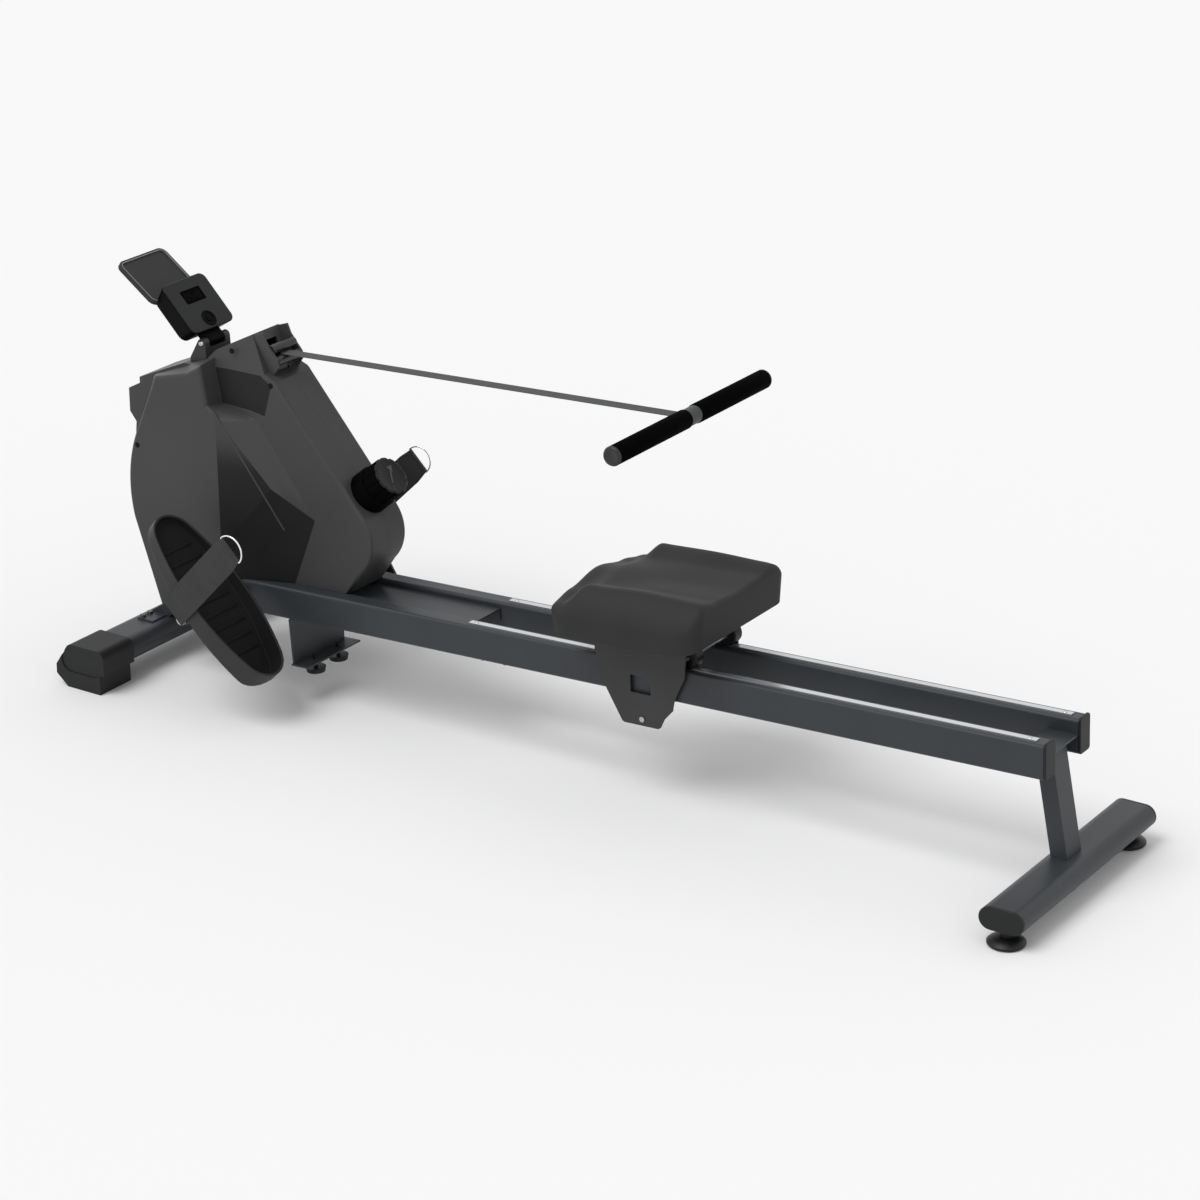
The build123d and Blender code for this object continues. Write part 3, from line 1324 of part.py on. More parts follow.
rest = math.radians(holder_tilt)
holder_up = Vector(-math.cos(rest), 0, math.sin(rest))
holder_out = Vector(math.sin(rest), 0, math.cos(rest))
holder_foot = (hinge + console_up * (console_rise + console_length / 2 - console_taper)
               + console_out * (console_front - console_depth))
holder_plane = Plane(origin=holder_foot + holder_up * (holder_length / 2 - holder_overlap),
                     x_dir=(0, 1, 0), z_dir=holder_out)
with BuildPart() as phone_holder:
    with BuildSketch(holder_plane):
        RectangleRounded(holder_width, holder_length, holder_corner)
    extrude(amount=holder_thickness)
    with BuildSketch(holder_plane.offset(holder_thickness)):
        RectangleRounded(holder_width - 2 * holder_rim, holder_length - 2 * holder_rim,
                         holder_corner - holder_rim)
    extrude(amount=-holder_rim_depth, mode=Mode.SUBTRACT)
    with BuildSketch(console_face.offset(-console_depth)):
        RectangleRounded(console_width - 2 * console_taper, console_length - 2 * console_taper,
                         console_corner)
    with BuildSketch(console_face):
        RectangleRounded(console_width, console_length, console_corner)
    loft(mode=Mode.SUBTRACT)
keep(phone_holder.part, "phone_holder")

# Pedals on one cross axle
pedal_angle = math.radians(pedal_tilt)
pedal_toe = Vector(-math.cos(pedal_angle), 0, math.sin(pedal_angle))
pedal_out = Vector(math.sin(pedal_angle), 0, math.cos(pedal_angle))
pedal_inner_y = pedal_middle - pedal_width / 2 + pedal_boss_margin
pedal_outer_y = pedal_middle + pedal_width / 2 - pedal_boss_margin
pedal_half = pedal_length / 2

with BuildPart() as pedal_axle:
    with BuildSketch(side_view(pedal_axle_x, pedal_axle_z)):
        Circle(pedal_axle_radius)
    extrude(amount=pedal_outer_y + pedal_boss_margin, both=True)
    for side, hand in sides:
        with BuildSketch(side_view(pedal_axle_x, pedal_axle_z, side * (rail_outer + seat_gap))):
            Circle(pedal_axle_collar)
        extrude(amount=-side * (pedal_inner_y - rail_outer - 2 * seat_gap))
        with BuildSketch(side_view(pedal_axle_x, pedal_axle_z, side * (pedal_outer_y + seat_gap))):
            Circle(pedal_axle_collar)
        extrude(amount=-side * (pedal_boss_margin - seat_gap))
keep(pedal_axle.part, "pedal_axle")


def oval_face(plane, inset):
    # Two end arcs joined by two long side arcs
    a = pedal_half - inset
    b = pedal_width / 2 - inset
    r = pedal_end_radius - inset
    side_radius = ((a - r) ** 2 + b ** 2 - r ** 2) / (2 * (b - r))
    reach = math.hypot(a - r, side_radius - b)
    x = a - r + r * (a - r) / reach
    y = r * (side_radius - b) / reach
    with BuildSketch(plane) as face:
        with BuildLine():
            ThreePointArc((x, y), (0, b), (-x, y))
            ThreePointArc((-x, y), (-a, 0), (-x, -y))
            ThreePointArc((-x, -y), (0, -b), (x, -y))
            ThreePointArc((x, -y), (a, 0), (x, y))
        make_face()
    return face.sketch


def pedal_block(origin, inset, lift, top):
    # The oval tray, or with an inset the hollow in it, deeper at the heel than at the toe
    a = pedal_half - inset
    with BuildPart() as block:
        extrude(oval_face(Plane(origin=origin + pedal_out * top, x_dir=pedal_toe, z_dir=pedal_out), inset),
                amount=-2 * pedal_heel_depth)
        with BuildSketch(Plane(origin=origin, x_dir=pedal_toe, z_dir=(0, 1, 0))) as profile:
            with BuildLine():
                Polyline((-a, top), (-a, lift - pedal_heel_depth), (a, lift - pedal_toe_depth), (a, top),
                         close=True)
            make_face()
            heel = profile.vertices().group_by(Axis.X)[0].sort_by(Axis.Y)[0]
            fillet(heel, radius=pedal_heel_round - inset)
        extrude(amount=pedal_width, both=True, mode=Mode.INTERSECT)
    return block.part


for side, hand in sides:
    axle = Vector(pedal_axle_x, side * pedal_middle, pedal_axle_z)
    rim_middle = axle + pedal_out * pedal_rise
    with BuildPart() as pedal:
        add(pedal_block(rim_middle, 0, 0, 0))
        rib_height = pedal_rise - (pedal_heel_depth + pedal_toe_depth) / 2 + pedal_sole / 2
        with BuildSketch(Plane(origin=axle, x_dir=pedal_toe, z_dir=(0, 1, 0))):
            Circle(pedal_boss_radius)
            with Locations((0, rib_height / 2)):
                Rectangle(2 * pedal_boss_radius, rib_height)
        extrude(amount=pedal_width / 2 - pedal_boss_margin, both=True)
        add(pedal_block(rim_middle, pedal_wall, pedal_sole, shaft_gap), mode=Mode.SUBTRACT)
        with BuildSketch(Plane(origin=axle, x_dir=pedal_toe, z_dir=(0, 1, 0))):
            Circle(pedal_axle_radius + shaft_gap)
        extrude(amount=pedal_width, both=True, mode=Mode.SUBTRACT)
    keep(pedal.part, f"pedal_{hand}")

    lean = math.radians(pedal_strap_lean)
    strap_along = pedal_out * math.cos(lean) + Vector(0, side * math.sin(lean), 0)
    strap_foot = (rim_middle + pedal_toe * pedal_strap_toe - pedal_out * pedal_strap_low
                  + Vector(0, side * (pedal_width / 2 + seat_gap), 0))
    strap_plane = Plane(origin=strap_foot, x_dir=pedal_toe, z_dir=pedal_toe.cross(strap_along))
    hem_width = 2 * (ring_radius - ring_wire - seat_gap)
    taper_start = pedal_strap_length - ring_radius
    with BuildPart() as pedal_strap:
        with BuildSketch(strap_plane):
            with BuildLine():
                Polyline((-pedal_strap_width / 2, 0), (pedal_strap_width / 2, 0),
                         (pedal_strap_width / 2, taper_start), (hem_width / 2, pedal_strap_length),
                         (-hem_width / 2, pedal_strap_length), (-pedal_strap_width / 2, taper_start),
                         close=True)
            make_face()
        extrude(amount=side * pedal_strap_thickness)
        ring_place = (strap_foot + strap_along * pedal_strap_length
                      + strap_plane.z_dir * (side * pedal_strap_thickness / 2))
        hem_plane = Plane(origin=ring_place, x_dir=strap_along, z_dir=pedal_toe)
        with BuildSketch(hem_plane):
            Circle(ring_wire + seat_gap + pedal_strap_thickness / 2)
        extrude(amount=hem_width / 2, both=True)
        with BuildSketch(hem_plane):
            Circle(ring_wire + shaft_gap)
        extrude(amount=hem_width, both=True, mode=Mode.SUBTRACT)
    keep(pedal_strap.part, f"pedal_strap_{hand}")

    with BuildPart() as pedal_ring:
        with BuildSketch(hem_plane):
            Circle(ring_wire)
        extrude(amount=ring_radius, both=True)
        ring_plane = Plane(origin=ring_place - pedal_toe * ring_radius, x_dir=pedal_toe,
                           z_dir=strap_along)
        with BuildSketch(ring_plane):
            Circle(ring_wire)
        revolve(axis=Axis(ring_place, strap_plane.z_dir), revolution_arc=-180)
        with Locations(ring_place - pedal_toe * ring_radius, ring_place + pedal_toe * ring_radius):
            Sphere(ring_wire)
    keep(pedal_ring.part, f"pedal_ring_{hand}")

# Seat carriage. Its heights are above the rails' top, its lengths from the seat's middle.
seat_side = rail_side(seat_from_rail_end, 0)
seat_roller_spacing = seat_pad_length - 2 * seat_roller_setback
seat_plate_length = seat_pad_length - 2 * seat_plate_setback
carriage_inner = rail_outer + carriage_inner_gap
upper_axle_n = strip_thickness + seat_gap + seat_roller_radius
lower_axle_n = -rail_height - seat_gap - seat_lower_radius
seat_plate_n = upper_axle_n + seat_roller_radius + seat_plate_gap
seat_top_n = seat_plate_n + seat_plate_thickness
tie_n = (lower_axle_n - seat_lower_radius - carriage_drop) / 2
upper_axles = (-seat_roller_spacing / 2, seat_roller_spacing / 2)

with BuildPart() as seat_plate:
    with BuildSketch(seat_side):
        with Locations((0, seat_plate_n + seat_plate_thickness / 2)):
            Rectangle(seat_plate_length, seat_plate_thickness)
    extrude(amount=carriage_inner, both=True)
keep(seat_plate.part, "seat_plate")

carriage_points = [(seat_plate_length * u, carriage_drop * n) for u, n in carriage_plate_shares]
carriage_points = ([(carriage_points[0][0], seat_top_n)] + carriage_points
                   + [(carriage_points[-1][0], seat_top_n)])
window_points = [(seat_plate_length * u, carriage_drop * n) for u, n in carriage_window_shares]
for side, hand in sides:
    with BuildPart() as carriage_plate:
        with BuildSketch(seat_side.offset(-side * carriage_inner)):
            with BuildLine():
                Polyline(*carriage_points, close=True)
            make_face()
            with BuildLine():
                Polyline(window_points[3], window_points[0], window_points[1], window_points[2])
                ThreePointArc(window_points[2], (window_points[3][0] * 0.7, window_points[2][1] * 1.3),
                              window_points[3])
            make_face(mode=Mode.SUBTRACT)
            with Locations((0, tie_n)):
                Circle(seat_axle_radius + shaft_gap, mode=Mode.SUBTRACT)
        extrude(amount=-side * carriage_sheet)
    keep(carriage_plate.part, f"carriage_plate_{hand}")

with BuildPart() as seat_axles:
    with BuildSketch(seat_side):
        for u, n in ((upper_axles[0], upper_axle_n), (upper_axles[1], upper_axle_n), (0, lower_axle_n)):
            with Locations((u, n)):
                Circle(seat_axle_radius)
    extrude(amount=carriage_inner, both=True)
    with BuildSketch(seat_side):
        with Locations((0, tie_n)):
            Circle(seat_axle_radius)
    extrude(amount=carriage_inner + 2 * carriage_sheet, both=True)
keep(seat_axles.part, "seat_axles")

roller_inner_y = rail_spacing / 2 - seat_roller_width / 2
for name, u, n, radius in (("seat_rollers_front", upper_axles[0], upper_axle_n, seat_roller_radius),
                           ("seat_rollers_rear", upper_axles[1], upper_axle_n, seat_roller_radius),
                           ("seat_rollers_lower", 0, lower_axle_n, seat_lower_radius)):
    with BuildPart() as seat_rollers:
        for side, hand in sides:
            with BuildSketch(seat_side.offset(-side * roller_inner_y)):
                with Locations((u, n)):
                    Circle(radius)
                    Circle(seat_axle_radius + shaft_gap, mode=Mode.SUBTRACT)
            extrude(amount=-side * seat_roller_width)
        rims = seat_rollers.edges().filter_by(GeomType.CIRCLE).group_by(SortBy.RADIUS)[-1]
        chamfer(rims, length=strip_thickness)
    keep(seat_rollers.part, name)

# Seat cushion: raised sides and rear, dished middle, a front hump between two thigh channels
pad_plane = rail_flat(seat_from_rail_end, seat_top_n)
pad_half_width = seat_pad_width / 2
with BuildPart() as seat_cutter:
    cutter_faces = []
    for along, edge, rim, rim_y, dip, dip_y, middle_n in seat_section_shares:
        w = pad_half_width * 1.05
        edge_n, rim_n, dip_n, top_n = (seat_pad_height * share for share in (edge, rim, dip, middle_n))
        rim_w = pad_half_width * rim_y
        dip_w = pad_half_width * dip_y
        high = 2 * seat_pad_height
        cross = Plane(origin=pad_plane.from_local_coords((seat_pad_length * along, 0, 0)),
                      x_dir=(0, 1, 0), z_dir=pad_plane.x_dir)
        with BuildSketch(cross) as section:
            with BuildLine():
                Polyline((w, edge_n), (w, high), (-w, high), (-w, edge_n))
                ThreePointArc((-w, edge_n), (-(w + rim_w) / 2, edge_n + (rim_n - edge_n) * 0.7),
                              (-rim_w, rim_n))
                ThreePointArc((-rim_w, rim_n), (-(rim_w + dip_w) / 2, rim_n + (dip_n - rim_n) * 0.45),
                              (-dip_w, dip_n))
                ThreePointArc((-dip_w, dip_n), (0, top_n), (dip_w, dip_n))
                ThreePointArc((dip_w, dip_n), ((rim_w + dip_w) / 2, rim_n + (dip_n - rim_n) * 0.45),
                              (rim_w, rim_n))
                ThreePointArc((rim_w, rim_n), ((w + rim_w) / 2, edge_n + (rim_n - edge_n) * 0.7),
                              (w, edge_n))
            make_face()
        cutter_faces.append(section.sketch.face())
    loft(sections=cutter_faces)

with BuildPart() as seat_pad:
    with BuildSketch(pad_plane):
        RectangleRounded(seat_pad_length - 2 * seat_pad_draw, seat_pad_width - 2 * seat_pad_draw,
                         seat_pad_corner - seat_pad_draw)
    with BuildSketch(pad_plane.offset(seat_pad_height)):
        RectangleRounded(seat_pad_length, seat_pad_width, seat_pad_corner)
    loft()
    add(seat_cutter.part, mode=Mode.SUBTRACT)
    # the underside curves up towards the rear end
    rise_start = seat_pad_length / 2 - seat_pad_lift_length
    with BuildSketch(rail_side(seat_from_rail_end, seat_top_n)):
        with BuildLine():
            ThreePointArc((rise_start, 0), (rise_start + seat_pad_lift_length / 2, seat_pad_rear_lift / 4),
                          (seat_pad_length / 2, seat_pad_rear_lift))
            Polyline((seat_pad_length / 2, seat_pad_rear_lift), (seat_pad_length, seat_pad_rear_lift),
                     (seat_pad_length, -seat_pad_rear_lift), (rise_start, -seat_pad_rear_lift),
                     (rise_start, 0))
        make_face()
    extrude(amount=seat_pad_width, both=True, mode=Mode.SUBTRACT)
keep(seat_pad.part, "seat_pad")
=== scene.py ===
# Magnetic rowing machine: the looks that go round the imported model. All lengths are in metres.
# The pieces follow the machine as it is put together, from the rails to the console.
import json
import math

import bmesh
import bpy
from mathutils import Matrix, Vector

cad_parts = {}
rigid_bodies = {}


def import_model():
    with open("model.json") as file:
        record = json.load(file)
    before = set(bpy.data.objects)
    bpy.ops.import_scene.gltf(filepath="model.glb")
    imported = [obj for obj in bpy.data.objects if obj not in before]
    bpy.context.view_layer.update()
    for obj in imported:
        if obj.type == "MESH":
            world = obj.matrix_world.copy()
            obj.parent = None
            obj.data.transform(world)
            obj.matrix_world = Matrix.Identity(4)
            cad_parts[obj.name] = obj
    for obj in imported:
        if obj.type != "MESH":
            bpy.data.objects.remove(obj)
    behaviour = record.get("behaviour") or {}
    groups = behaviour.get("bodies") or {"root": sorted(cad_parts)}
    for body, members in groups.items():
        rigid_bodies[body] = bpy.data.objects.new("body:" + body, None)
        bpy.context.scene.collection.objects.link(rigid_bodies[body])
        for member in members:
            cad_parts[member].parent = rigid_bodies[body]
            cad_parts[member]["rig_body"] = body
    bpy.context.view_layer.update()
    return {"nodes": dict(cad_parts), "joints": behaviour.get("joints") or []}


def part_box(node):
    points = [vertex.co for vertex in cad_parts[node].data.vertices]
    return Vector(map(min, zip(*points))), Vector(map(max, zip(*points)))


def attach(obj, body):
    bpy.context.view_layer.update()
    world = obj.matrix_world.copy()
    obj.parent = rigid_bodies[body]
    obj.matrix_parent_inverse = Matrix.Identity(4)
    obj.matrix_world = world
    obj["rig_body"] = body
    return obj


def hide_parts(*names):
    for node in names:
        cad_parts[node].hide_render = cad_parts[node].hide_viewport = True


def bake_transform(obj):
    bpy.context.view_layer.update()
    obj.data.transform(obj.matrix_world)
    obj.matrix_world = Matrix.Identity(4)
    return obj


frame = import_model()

# Studio: a long lens from the rower's left rear, a wide pale floor, a broad soft key lamp from
# above the camera and an even pale surround.
scene = bpy.context.scene
scene.view_settings.view_transform = "Standard"
camera_place = Vector((3.228, -4.835, 2.639))
camera_aim = Vector((-0.5106, 0.7747, -0.3730))
lens = bpy.data.cameras.new("studio_camera")
lens.sensor_width = 36.0
lens.lens = 108.34
lens.clip_start, lens.clip_end = 0.1, 200.0
camera = bpy.data.objects.new("studio_camera", lens)
camera.location = camera_place
camera.rotation_euler = camera_aim.to_track_quat("-Z", "Y").to_euler()
scene.collection.objects.link(camera)
scene.camera = camera

key = bpy.data.lights.new("key_lamp", "SUN")
key.energy = 1.5
key.angle = math.radians(35)
key_lamp = bpy.data.objects.new("key_lamp", key)
key_lamp.rotation_euler = Vector((0.25, 0.62, -1.0)).to_track_quat("-Z", "Y").to_euler()
scene.collection.objects.link(key_lamp)

surround = bpy.data.worlds.new("surround")
scene.world = surround
surround.use_nodes = True
tree = surround.node_tree
tree.nodes.clear()
rays = tree.nodes.new("ShaderNodeLightPath")
seen = tree.nodes.new("ShaderNodeMath")
seen.operation = "MAXIMUM"
through = tree.nodes.new("ShaderNodeMath")
through.operation = "MAXIMUM"
even = tree.nodes.new("ShaderNodeBackground")
even.inputs["Strength"].default_value = 0.62
white = tree.nodes.new("ShaderNodeBackground")
white.inputs["Strength"].default_value = 1.0
either = tree.nodes.new("ShaderNodeMixShader")
sky = tree.nodes.new("ShaderNodeOutputWorld")
tree.links.new(rays.outputs["Is Camera Ray"], seen.inputs[0])
tree.links.new(rays.outputs["Is Glossy Ray"], seen.inputs[1])
tree.links.new(seen.outputs[0], through.inputs[0])
tree.links.new(rays.outputs["Is Transmission Ray"], through.inputs[1])
tree.links.new(through.outputs[0], either.inputs["Fac"])
tree.links.new(even.outputs[0], either.inputs[1])
tree.links.new(white.outputs[0], either.inputs[2])
tree.links.new(either.outputs[0], sky.inputs["Surface"])
for light in (even, white):
    light.inputs["Color"].default_value = (1, 1, 1, 1)

floor_half, floor_drop = 40.0, 0.0005
floor_bm = bmesh.new()
bmesh.ops.create_grid(floor_bm, x_segments=1, y_segments=1, size=floor_half)
floor_mesh = bpy.data.meshes.new("floor")
floor_bm.to_mesh(floor_mesh)
floor_bm.free()
floor = bpy.data.objects.new("floor", floor_mesh)
floor.location.z = -floor_drop
scene.collection.objects.link(floor)
paper = bpy.data.materials.new("studio_paper")
paper.use_nodes = True
paper_shader = paper.node_tree.nodes["Principled BSDF"]
paper_shader.inputs["Base Color"].default_value = (0.93, 0.93, 0.93, 1)
paper_shader.inputs["Roughness"].default_value = 0.9
paper_shader.inputs["Specular IOR Level"].default_value = 0.0
floor.data.materials.append(paper)


# Rails, legs and cross tubes: welded steel with a dark blue-grey powder coat. The coat has a
# faint orange peel and small changes of tone, and it is the same on every frame piece.
def finish(name, color, rough, specular=0.3, metal=0.0, grain=900.0, depth=0.00004, tone=0.12,
           tone_size=9.0, stretch=(1, 1, 1), turn=(0, 0, 0)):
    """A surface with a fine grain in its height and a slow change of tone and gloss."""
    material = bpy.data.materials.new(name)
    material.use_nodes = True
    graph = material.node_tree
    shader = graph.nodes["Principled BSDF"]
    shader.inputs["Metallic"].default_value = metal
    shader.inputs["Specular IOR Level"].default_value = specular
    place = graph.nodes.new("ShaderNodeTexCoord")
    turned = graph.nodes.new("ShaderNodeMapping")
    turned.inputs["Rotation"].default_value = turn
    turned.inputs["Scale"].default_value = stretch
    graph.links.new(place.outputs["Object"], turned.inputs["Vector"])
    slow = graph.nodes.new("ShaderNodeTexNoise")
    slow.inputs["Scale"].default_value = tone_size
    slow.inputs["Detail"].default_value = 4.0
    graph.links.new(turned.outputs["Vector"], slow.inputs["Vector"])
    shades = graph.nodes.new("ShaderNodeValToRGB")
    shades.color_ramp.elements[0].position = 0.3
    shades.color_ramp.elements[1].position = 0.7
    shades.color_ramp.elements[0].color = (*[c * (1 - tone) for c in color], 1)
    shades.color_ramp.elements[1].color = (*[c * (1 + tone) for c in color], 1)
    graph.links.new(slow.outputs["Fac"], shades.inputs["Fac"])
    graph.links.new(shades.outputs["Color"], shader.inputs["Base Color"])
    gloss = graph.nodes.new("ShaderNodeMapRange")
    gloss.inputs["To Min"].default_value = max(rough - 0.05, 0.05)
    gloss.inputs["To Max"].default_value = min(rough + 0.05, 1.0)
    graph.links.new(slow.outputs["Fac"], gloss.inputs["Value"])
    graph.links.new(gloss.outputs["Result"], shader.inputs["Roughness"])
    fine = graph.nodes.new("ShaderNodeTexNoise")
    fine.inputs["Scale"].default_value = grain
    fine.inputs["Detail"].default_value = 2.0
    graph.links.new(turned.outputs["Vector"], fine.inputs["Vector"])
    height = graph.nodes.new("ShaderNodeBump")
    height.inputs["Distance"].default_value = depth
    height.inputs["Strength"].default_value = 1.0
    graph.links.new(fine.outputs["Fac"], height.inputs["Height"])
    graph.links.new(height.outputs["Normal"], shader.inputs["Normal"])
    return material


nodes = frame["nodes"]


def dress(material, *names):
    """Gives a finish to every slot of the CAD nodes named."""
    for name in names:
        for part_slot in nodes[name].material_slots:
            part_slot.material = material


coat = finish("powder_coat", (0.030, 0.034, 0.039), 0.42, specular=0.32, grain=420, depth=0.00006)
dress(coat, "front_rail_left", "front_rail_right", "rear_rail_left", "rear_rail_right", "front_deck",
      "rear_leg", "rear_foot_tube", "front_foot_tube", "front_post", "mid_bracket")


# Running strips: bright aluminium flats, brushed along the rail and laid on its top. A small
# cross-head screw holds each strip at both ends.
def make_piece(bm, name, material, body, smooth_angle=35):
    """Turns a finished bmesh into a piece that rides on a body."""
    bmesh.ops.remove_doubles(bm, verts=bm.verts, dist=0.000005)
    bmesh.ops.recalc_face_normals(bm, faces=bm.faces)
    mesh = bpy.data.meshes.new(name)
    bm.to_mesh(mesh)
    bm.free()
    mesh.shade_smooth()
    mesh.set_sharp_from_angle(angle=math.radians(smooth_angle))
    mesh.materials.append(material)
    piece = bpy.data.objects.new(name, mesh)
    scene.collection.objects.link(piece)
    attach(piece, body)
    return piece


def upright(place, axis, side=(0, 1, 0)):
    """A matrix with its z along axis and its y near side, at place."""
    z = Vector(axis).normalized()
    x = Vector(side).cross(z).normalized()
    y = z.cross(x)
    turn = Matrix((x, y, z)).transposed().to_4x4()
    return Matrix.Translation(place) @ turn


def join_bmesh(target, source):
    """Adds a finished bmesh to another one, and frees it."""
    mesh = bpy.data.meshes.new("passing")
    source.to_mesh(mesh)
    source.free()
    target.from_mesh(mesh)
    bpy.data.meshes.remove(mesh)


def turned_shape(bm, outline, matrix, steps):
    """Spins an outline of (radius, height) points round the matrix's z axis, into a bmesh."""
    spun = bmesh.new()
    points = [spun.verts.new((radius, 0, height)) for radius, height in outline]
    edges = [spun.edges.new(pair) for pair in zip(points, points[1:])]
    bmesh.ops.spin(spun, geom=points + edges, cent=(0, 0, 0), axis=(0, 0, 1), angle=math.tau,
                   steps=steps, use_merge=True, use_duplicate=False)
    bmesh.ops.remove_doubles(spun, verts=spun.verts, dist=0.000002)
    bmesh.ops.transform(spun, matrix=matrix, verts=spun.verts)
    join_bmesh(bm, spun)


def screw_head(bm, matrix, radius, height, cross_depth):
    """A pan head on the matrix's plane, with the two bars of its driver cross in its top."""
    outline = [(0, height), (radius * 0.55, height), (radius * 0.86, height * 0.72),
               (radius, height * 0.25), (radius, 0), (0, 0)]
    turned_shape(bm, outline, matrix, steps=24)
    lift = Matrix.Translation((0, 0, height - cross_depth * 0.3))
    shape = Matrix.Diagonal((radius * 1.1, radius * 0.18, cross_depth, 1))
    for angle in (0, math.pi / 2):
        bar = matrix @ Matrix.Rotation(angle, 4, "Z") @ lift @ shape
        bmesh.ops.create_cube(bm, size=1.0, matrix=bar)


joint_axis = {j["name"]: Vector(j["axis"]) for j in frame["joints"]}
strip_low, strip_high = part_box("rail_strips")
seat_axis = joint_axis["seat_slide"]
rail_turn = math.atan2(seat_axis.z, seat_axis.x)
rail_up = Vector((-seat_axis.z, 0, seat_axis.x))
brushed = finish("brushed_strip", (0.62, 0.63, 0.64), 0.30, specular=0.5, metal=0.85, grain=700,
                 depth=0.00002, tone=0.05, tone_size=6, stretch=(0.03, 1, 1), turn=(0, rail_turn, 0))
dress(brushed, "rail_strips")
steel_head = finish("screw_steel", (0.55, 0.55, 0.56), 0.28, specular=0.5, metal=1.0, grain=1500,
                    depth=0.00001, tone=0.05)
strip_half_width, strip_inset = 0.006, 0.014
strip_screw_radius, strip_screw_height, strip_screw_cross = 0.0042, 0.0016, 0.0012
strip_screw_sink = 0.0002
bm = bmesh.new()
strip_run = (strip_high.x - strip_low.x) / math.cos(rail_turn)
for side in (-1, 1):
    strip_end = Vector((strip_high.x, side * (strip_high.y - strip_half_width), strip_high.z))
    for inset in (strip_inset, strip_run - strip_inset):
        foot = strip_end - seat_axis * inset - rail_up * strip_screw_sink
        screw_head(bm, upright(foot, rail_up), strip_screw_radius, strip_screw_height, strip_screw_cross)
make_piece(bm, "strip_screws", steel_head, "frame")


# Moulded caps, plugs and feet: black-grey plastic with a fine spark texture on the caps, and
# matt rubber where the machine stands or rolls. All edges are slightly rounded by the mould.
def softened(node, name, material, width, angle=30, segments=2, flat=0.8, crease_area=0.0004):
    """A copy of a CAD node with its facets joined and its edges rounded, in place of the node.

    Creases between large faces stay sharp however slight they are, so flat facets stay flat."""
    least_crease = math.radians(3)
    bm = bmesh.new()
    bm.from_mesh(nodes[node].data)
    bmesh.ops.remove_doubles(bm, verts=bm.verts, dist=0.00002)
    bmesh.ops.dissolve_limit(bm, angle_limit=math.radians(flat), verts=bm.verts, edges=bm.edges)
    creases = [e.index for e in bm.edges if len(e.link_faces) == 2
               and min(f.calc_area() for f in e.link_faces) > crease_area
               and e.calc_face_angle(0) > least_crease]
    mesh = bpy.data.meshes.new(name)
    bm.to_mesh(mesh)
    bm.free()
    mesh.shade_smooth()
    mesh.set_sharp_from_angle(angle=math.radians(angle))
    for index in creases:
        mesh.edges[index].use_edge_sharp = True
    mesh.materials.append(material)
    piece = bpy.data.objects.new(name, mesh)
    scene.collection.objects.link(piece)
    if width:
        rounding = piece.modifiers.new("rounded_edges", "BEVEL")
        rounding.width = width
        rounding.segments = segments
        rounding.limit_method = "ANGLE"
        rounding.angle_limit = math.radians(angle)
    evened = piece.modifiers.new("even_faces", "WEIGHTED_NORMAL")
    evened.keep_sharp = True
    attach(piece, nodes[node]["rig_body"])
    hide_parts(node)
    return piece


cap_plastic = finish("foot_plastic", (0.014, 0.0145, 0.015), 0.5, specular=0.22, grain=1100,
                     depth=0.00008)
rubber = finish("foot_rubber", (0.006, 0.006, 0.006), 0.42, specular=0.3, grain=700, depth=0.00005)
for hand in ("left", "right"):
    softened(f"front_foot_cap_{hand}", f"front_cap_{hand}", cap_plastic, 0.003)
    dress(rubber, f"transport_wheel_{hand}", f"rear_pad_{hand}")
softened("rear_foot_plugs", "rear_plugs", cap_plastic, 0.0015)
softened("rail_end_caps", "rail_caps", cap_plastic, 0.001, angle=50)
dress(rubber, "mid_pads")


# Fasteners and axles: the axles are zinc-plated steel, turned smooth, with a faint blue tone in the
# plate, and the frame bolts are black.
zinc = finish("zinc_plate", (0.42, 0.43, 0.45), 0.32, specular=0.5, metal=0.9, grain=1200,
              depth=0.00002, tone=0.08)
black_bolt = finish("black_bolt", (0.035, 0.036, 0.038), 0.25, specular=0.5, metal=0.3, grain=1200,
                    depth=0.00002, tone=0.08)
dress(black_bolt, "frame_bolts")
dress(zinc, "pedal_axle", "seat_axles")


# Housing: two moulded halves in charcoal plastic that meet on the centre line, a ridge with a
# bulging cover on each side, held together by recessed screws. A recessed panel is darker, and
# the two facets of each cover carry painted shade: darker finishes stand in for their shade.
shell = finish("housing_plastic", (0.050, 0.050, 0.051), 0.42, specular=0.20, grain=1400,
               depth=0.00005, tone=0.06, tone_size=5)
panel = finish("housing_panel", (0.016, 0.016, 0.017), 0.5, specular=0.15, grain=1400, depth=0.00006)
lower_facet_painted_shade = finish("housing_lower_facet_painted_shade", (0.0135, 0.0135, 0.014), 0.55, specular=0.12, grain=1400, depth=0.00006)
upper_facet_painted_shade = finish("housing_upper_facet_painted_shade", (0.050, 0.050, 0.051), 0.5, specular=0.15, grain=1400,
                     depth=0.00006, tone=0.06, tone_size=5)
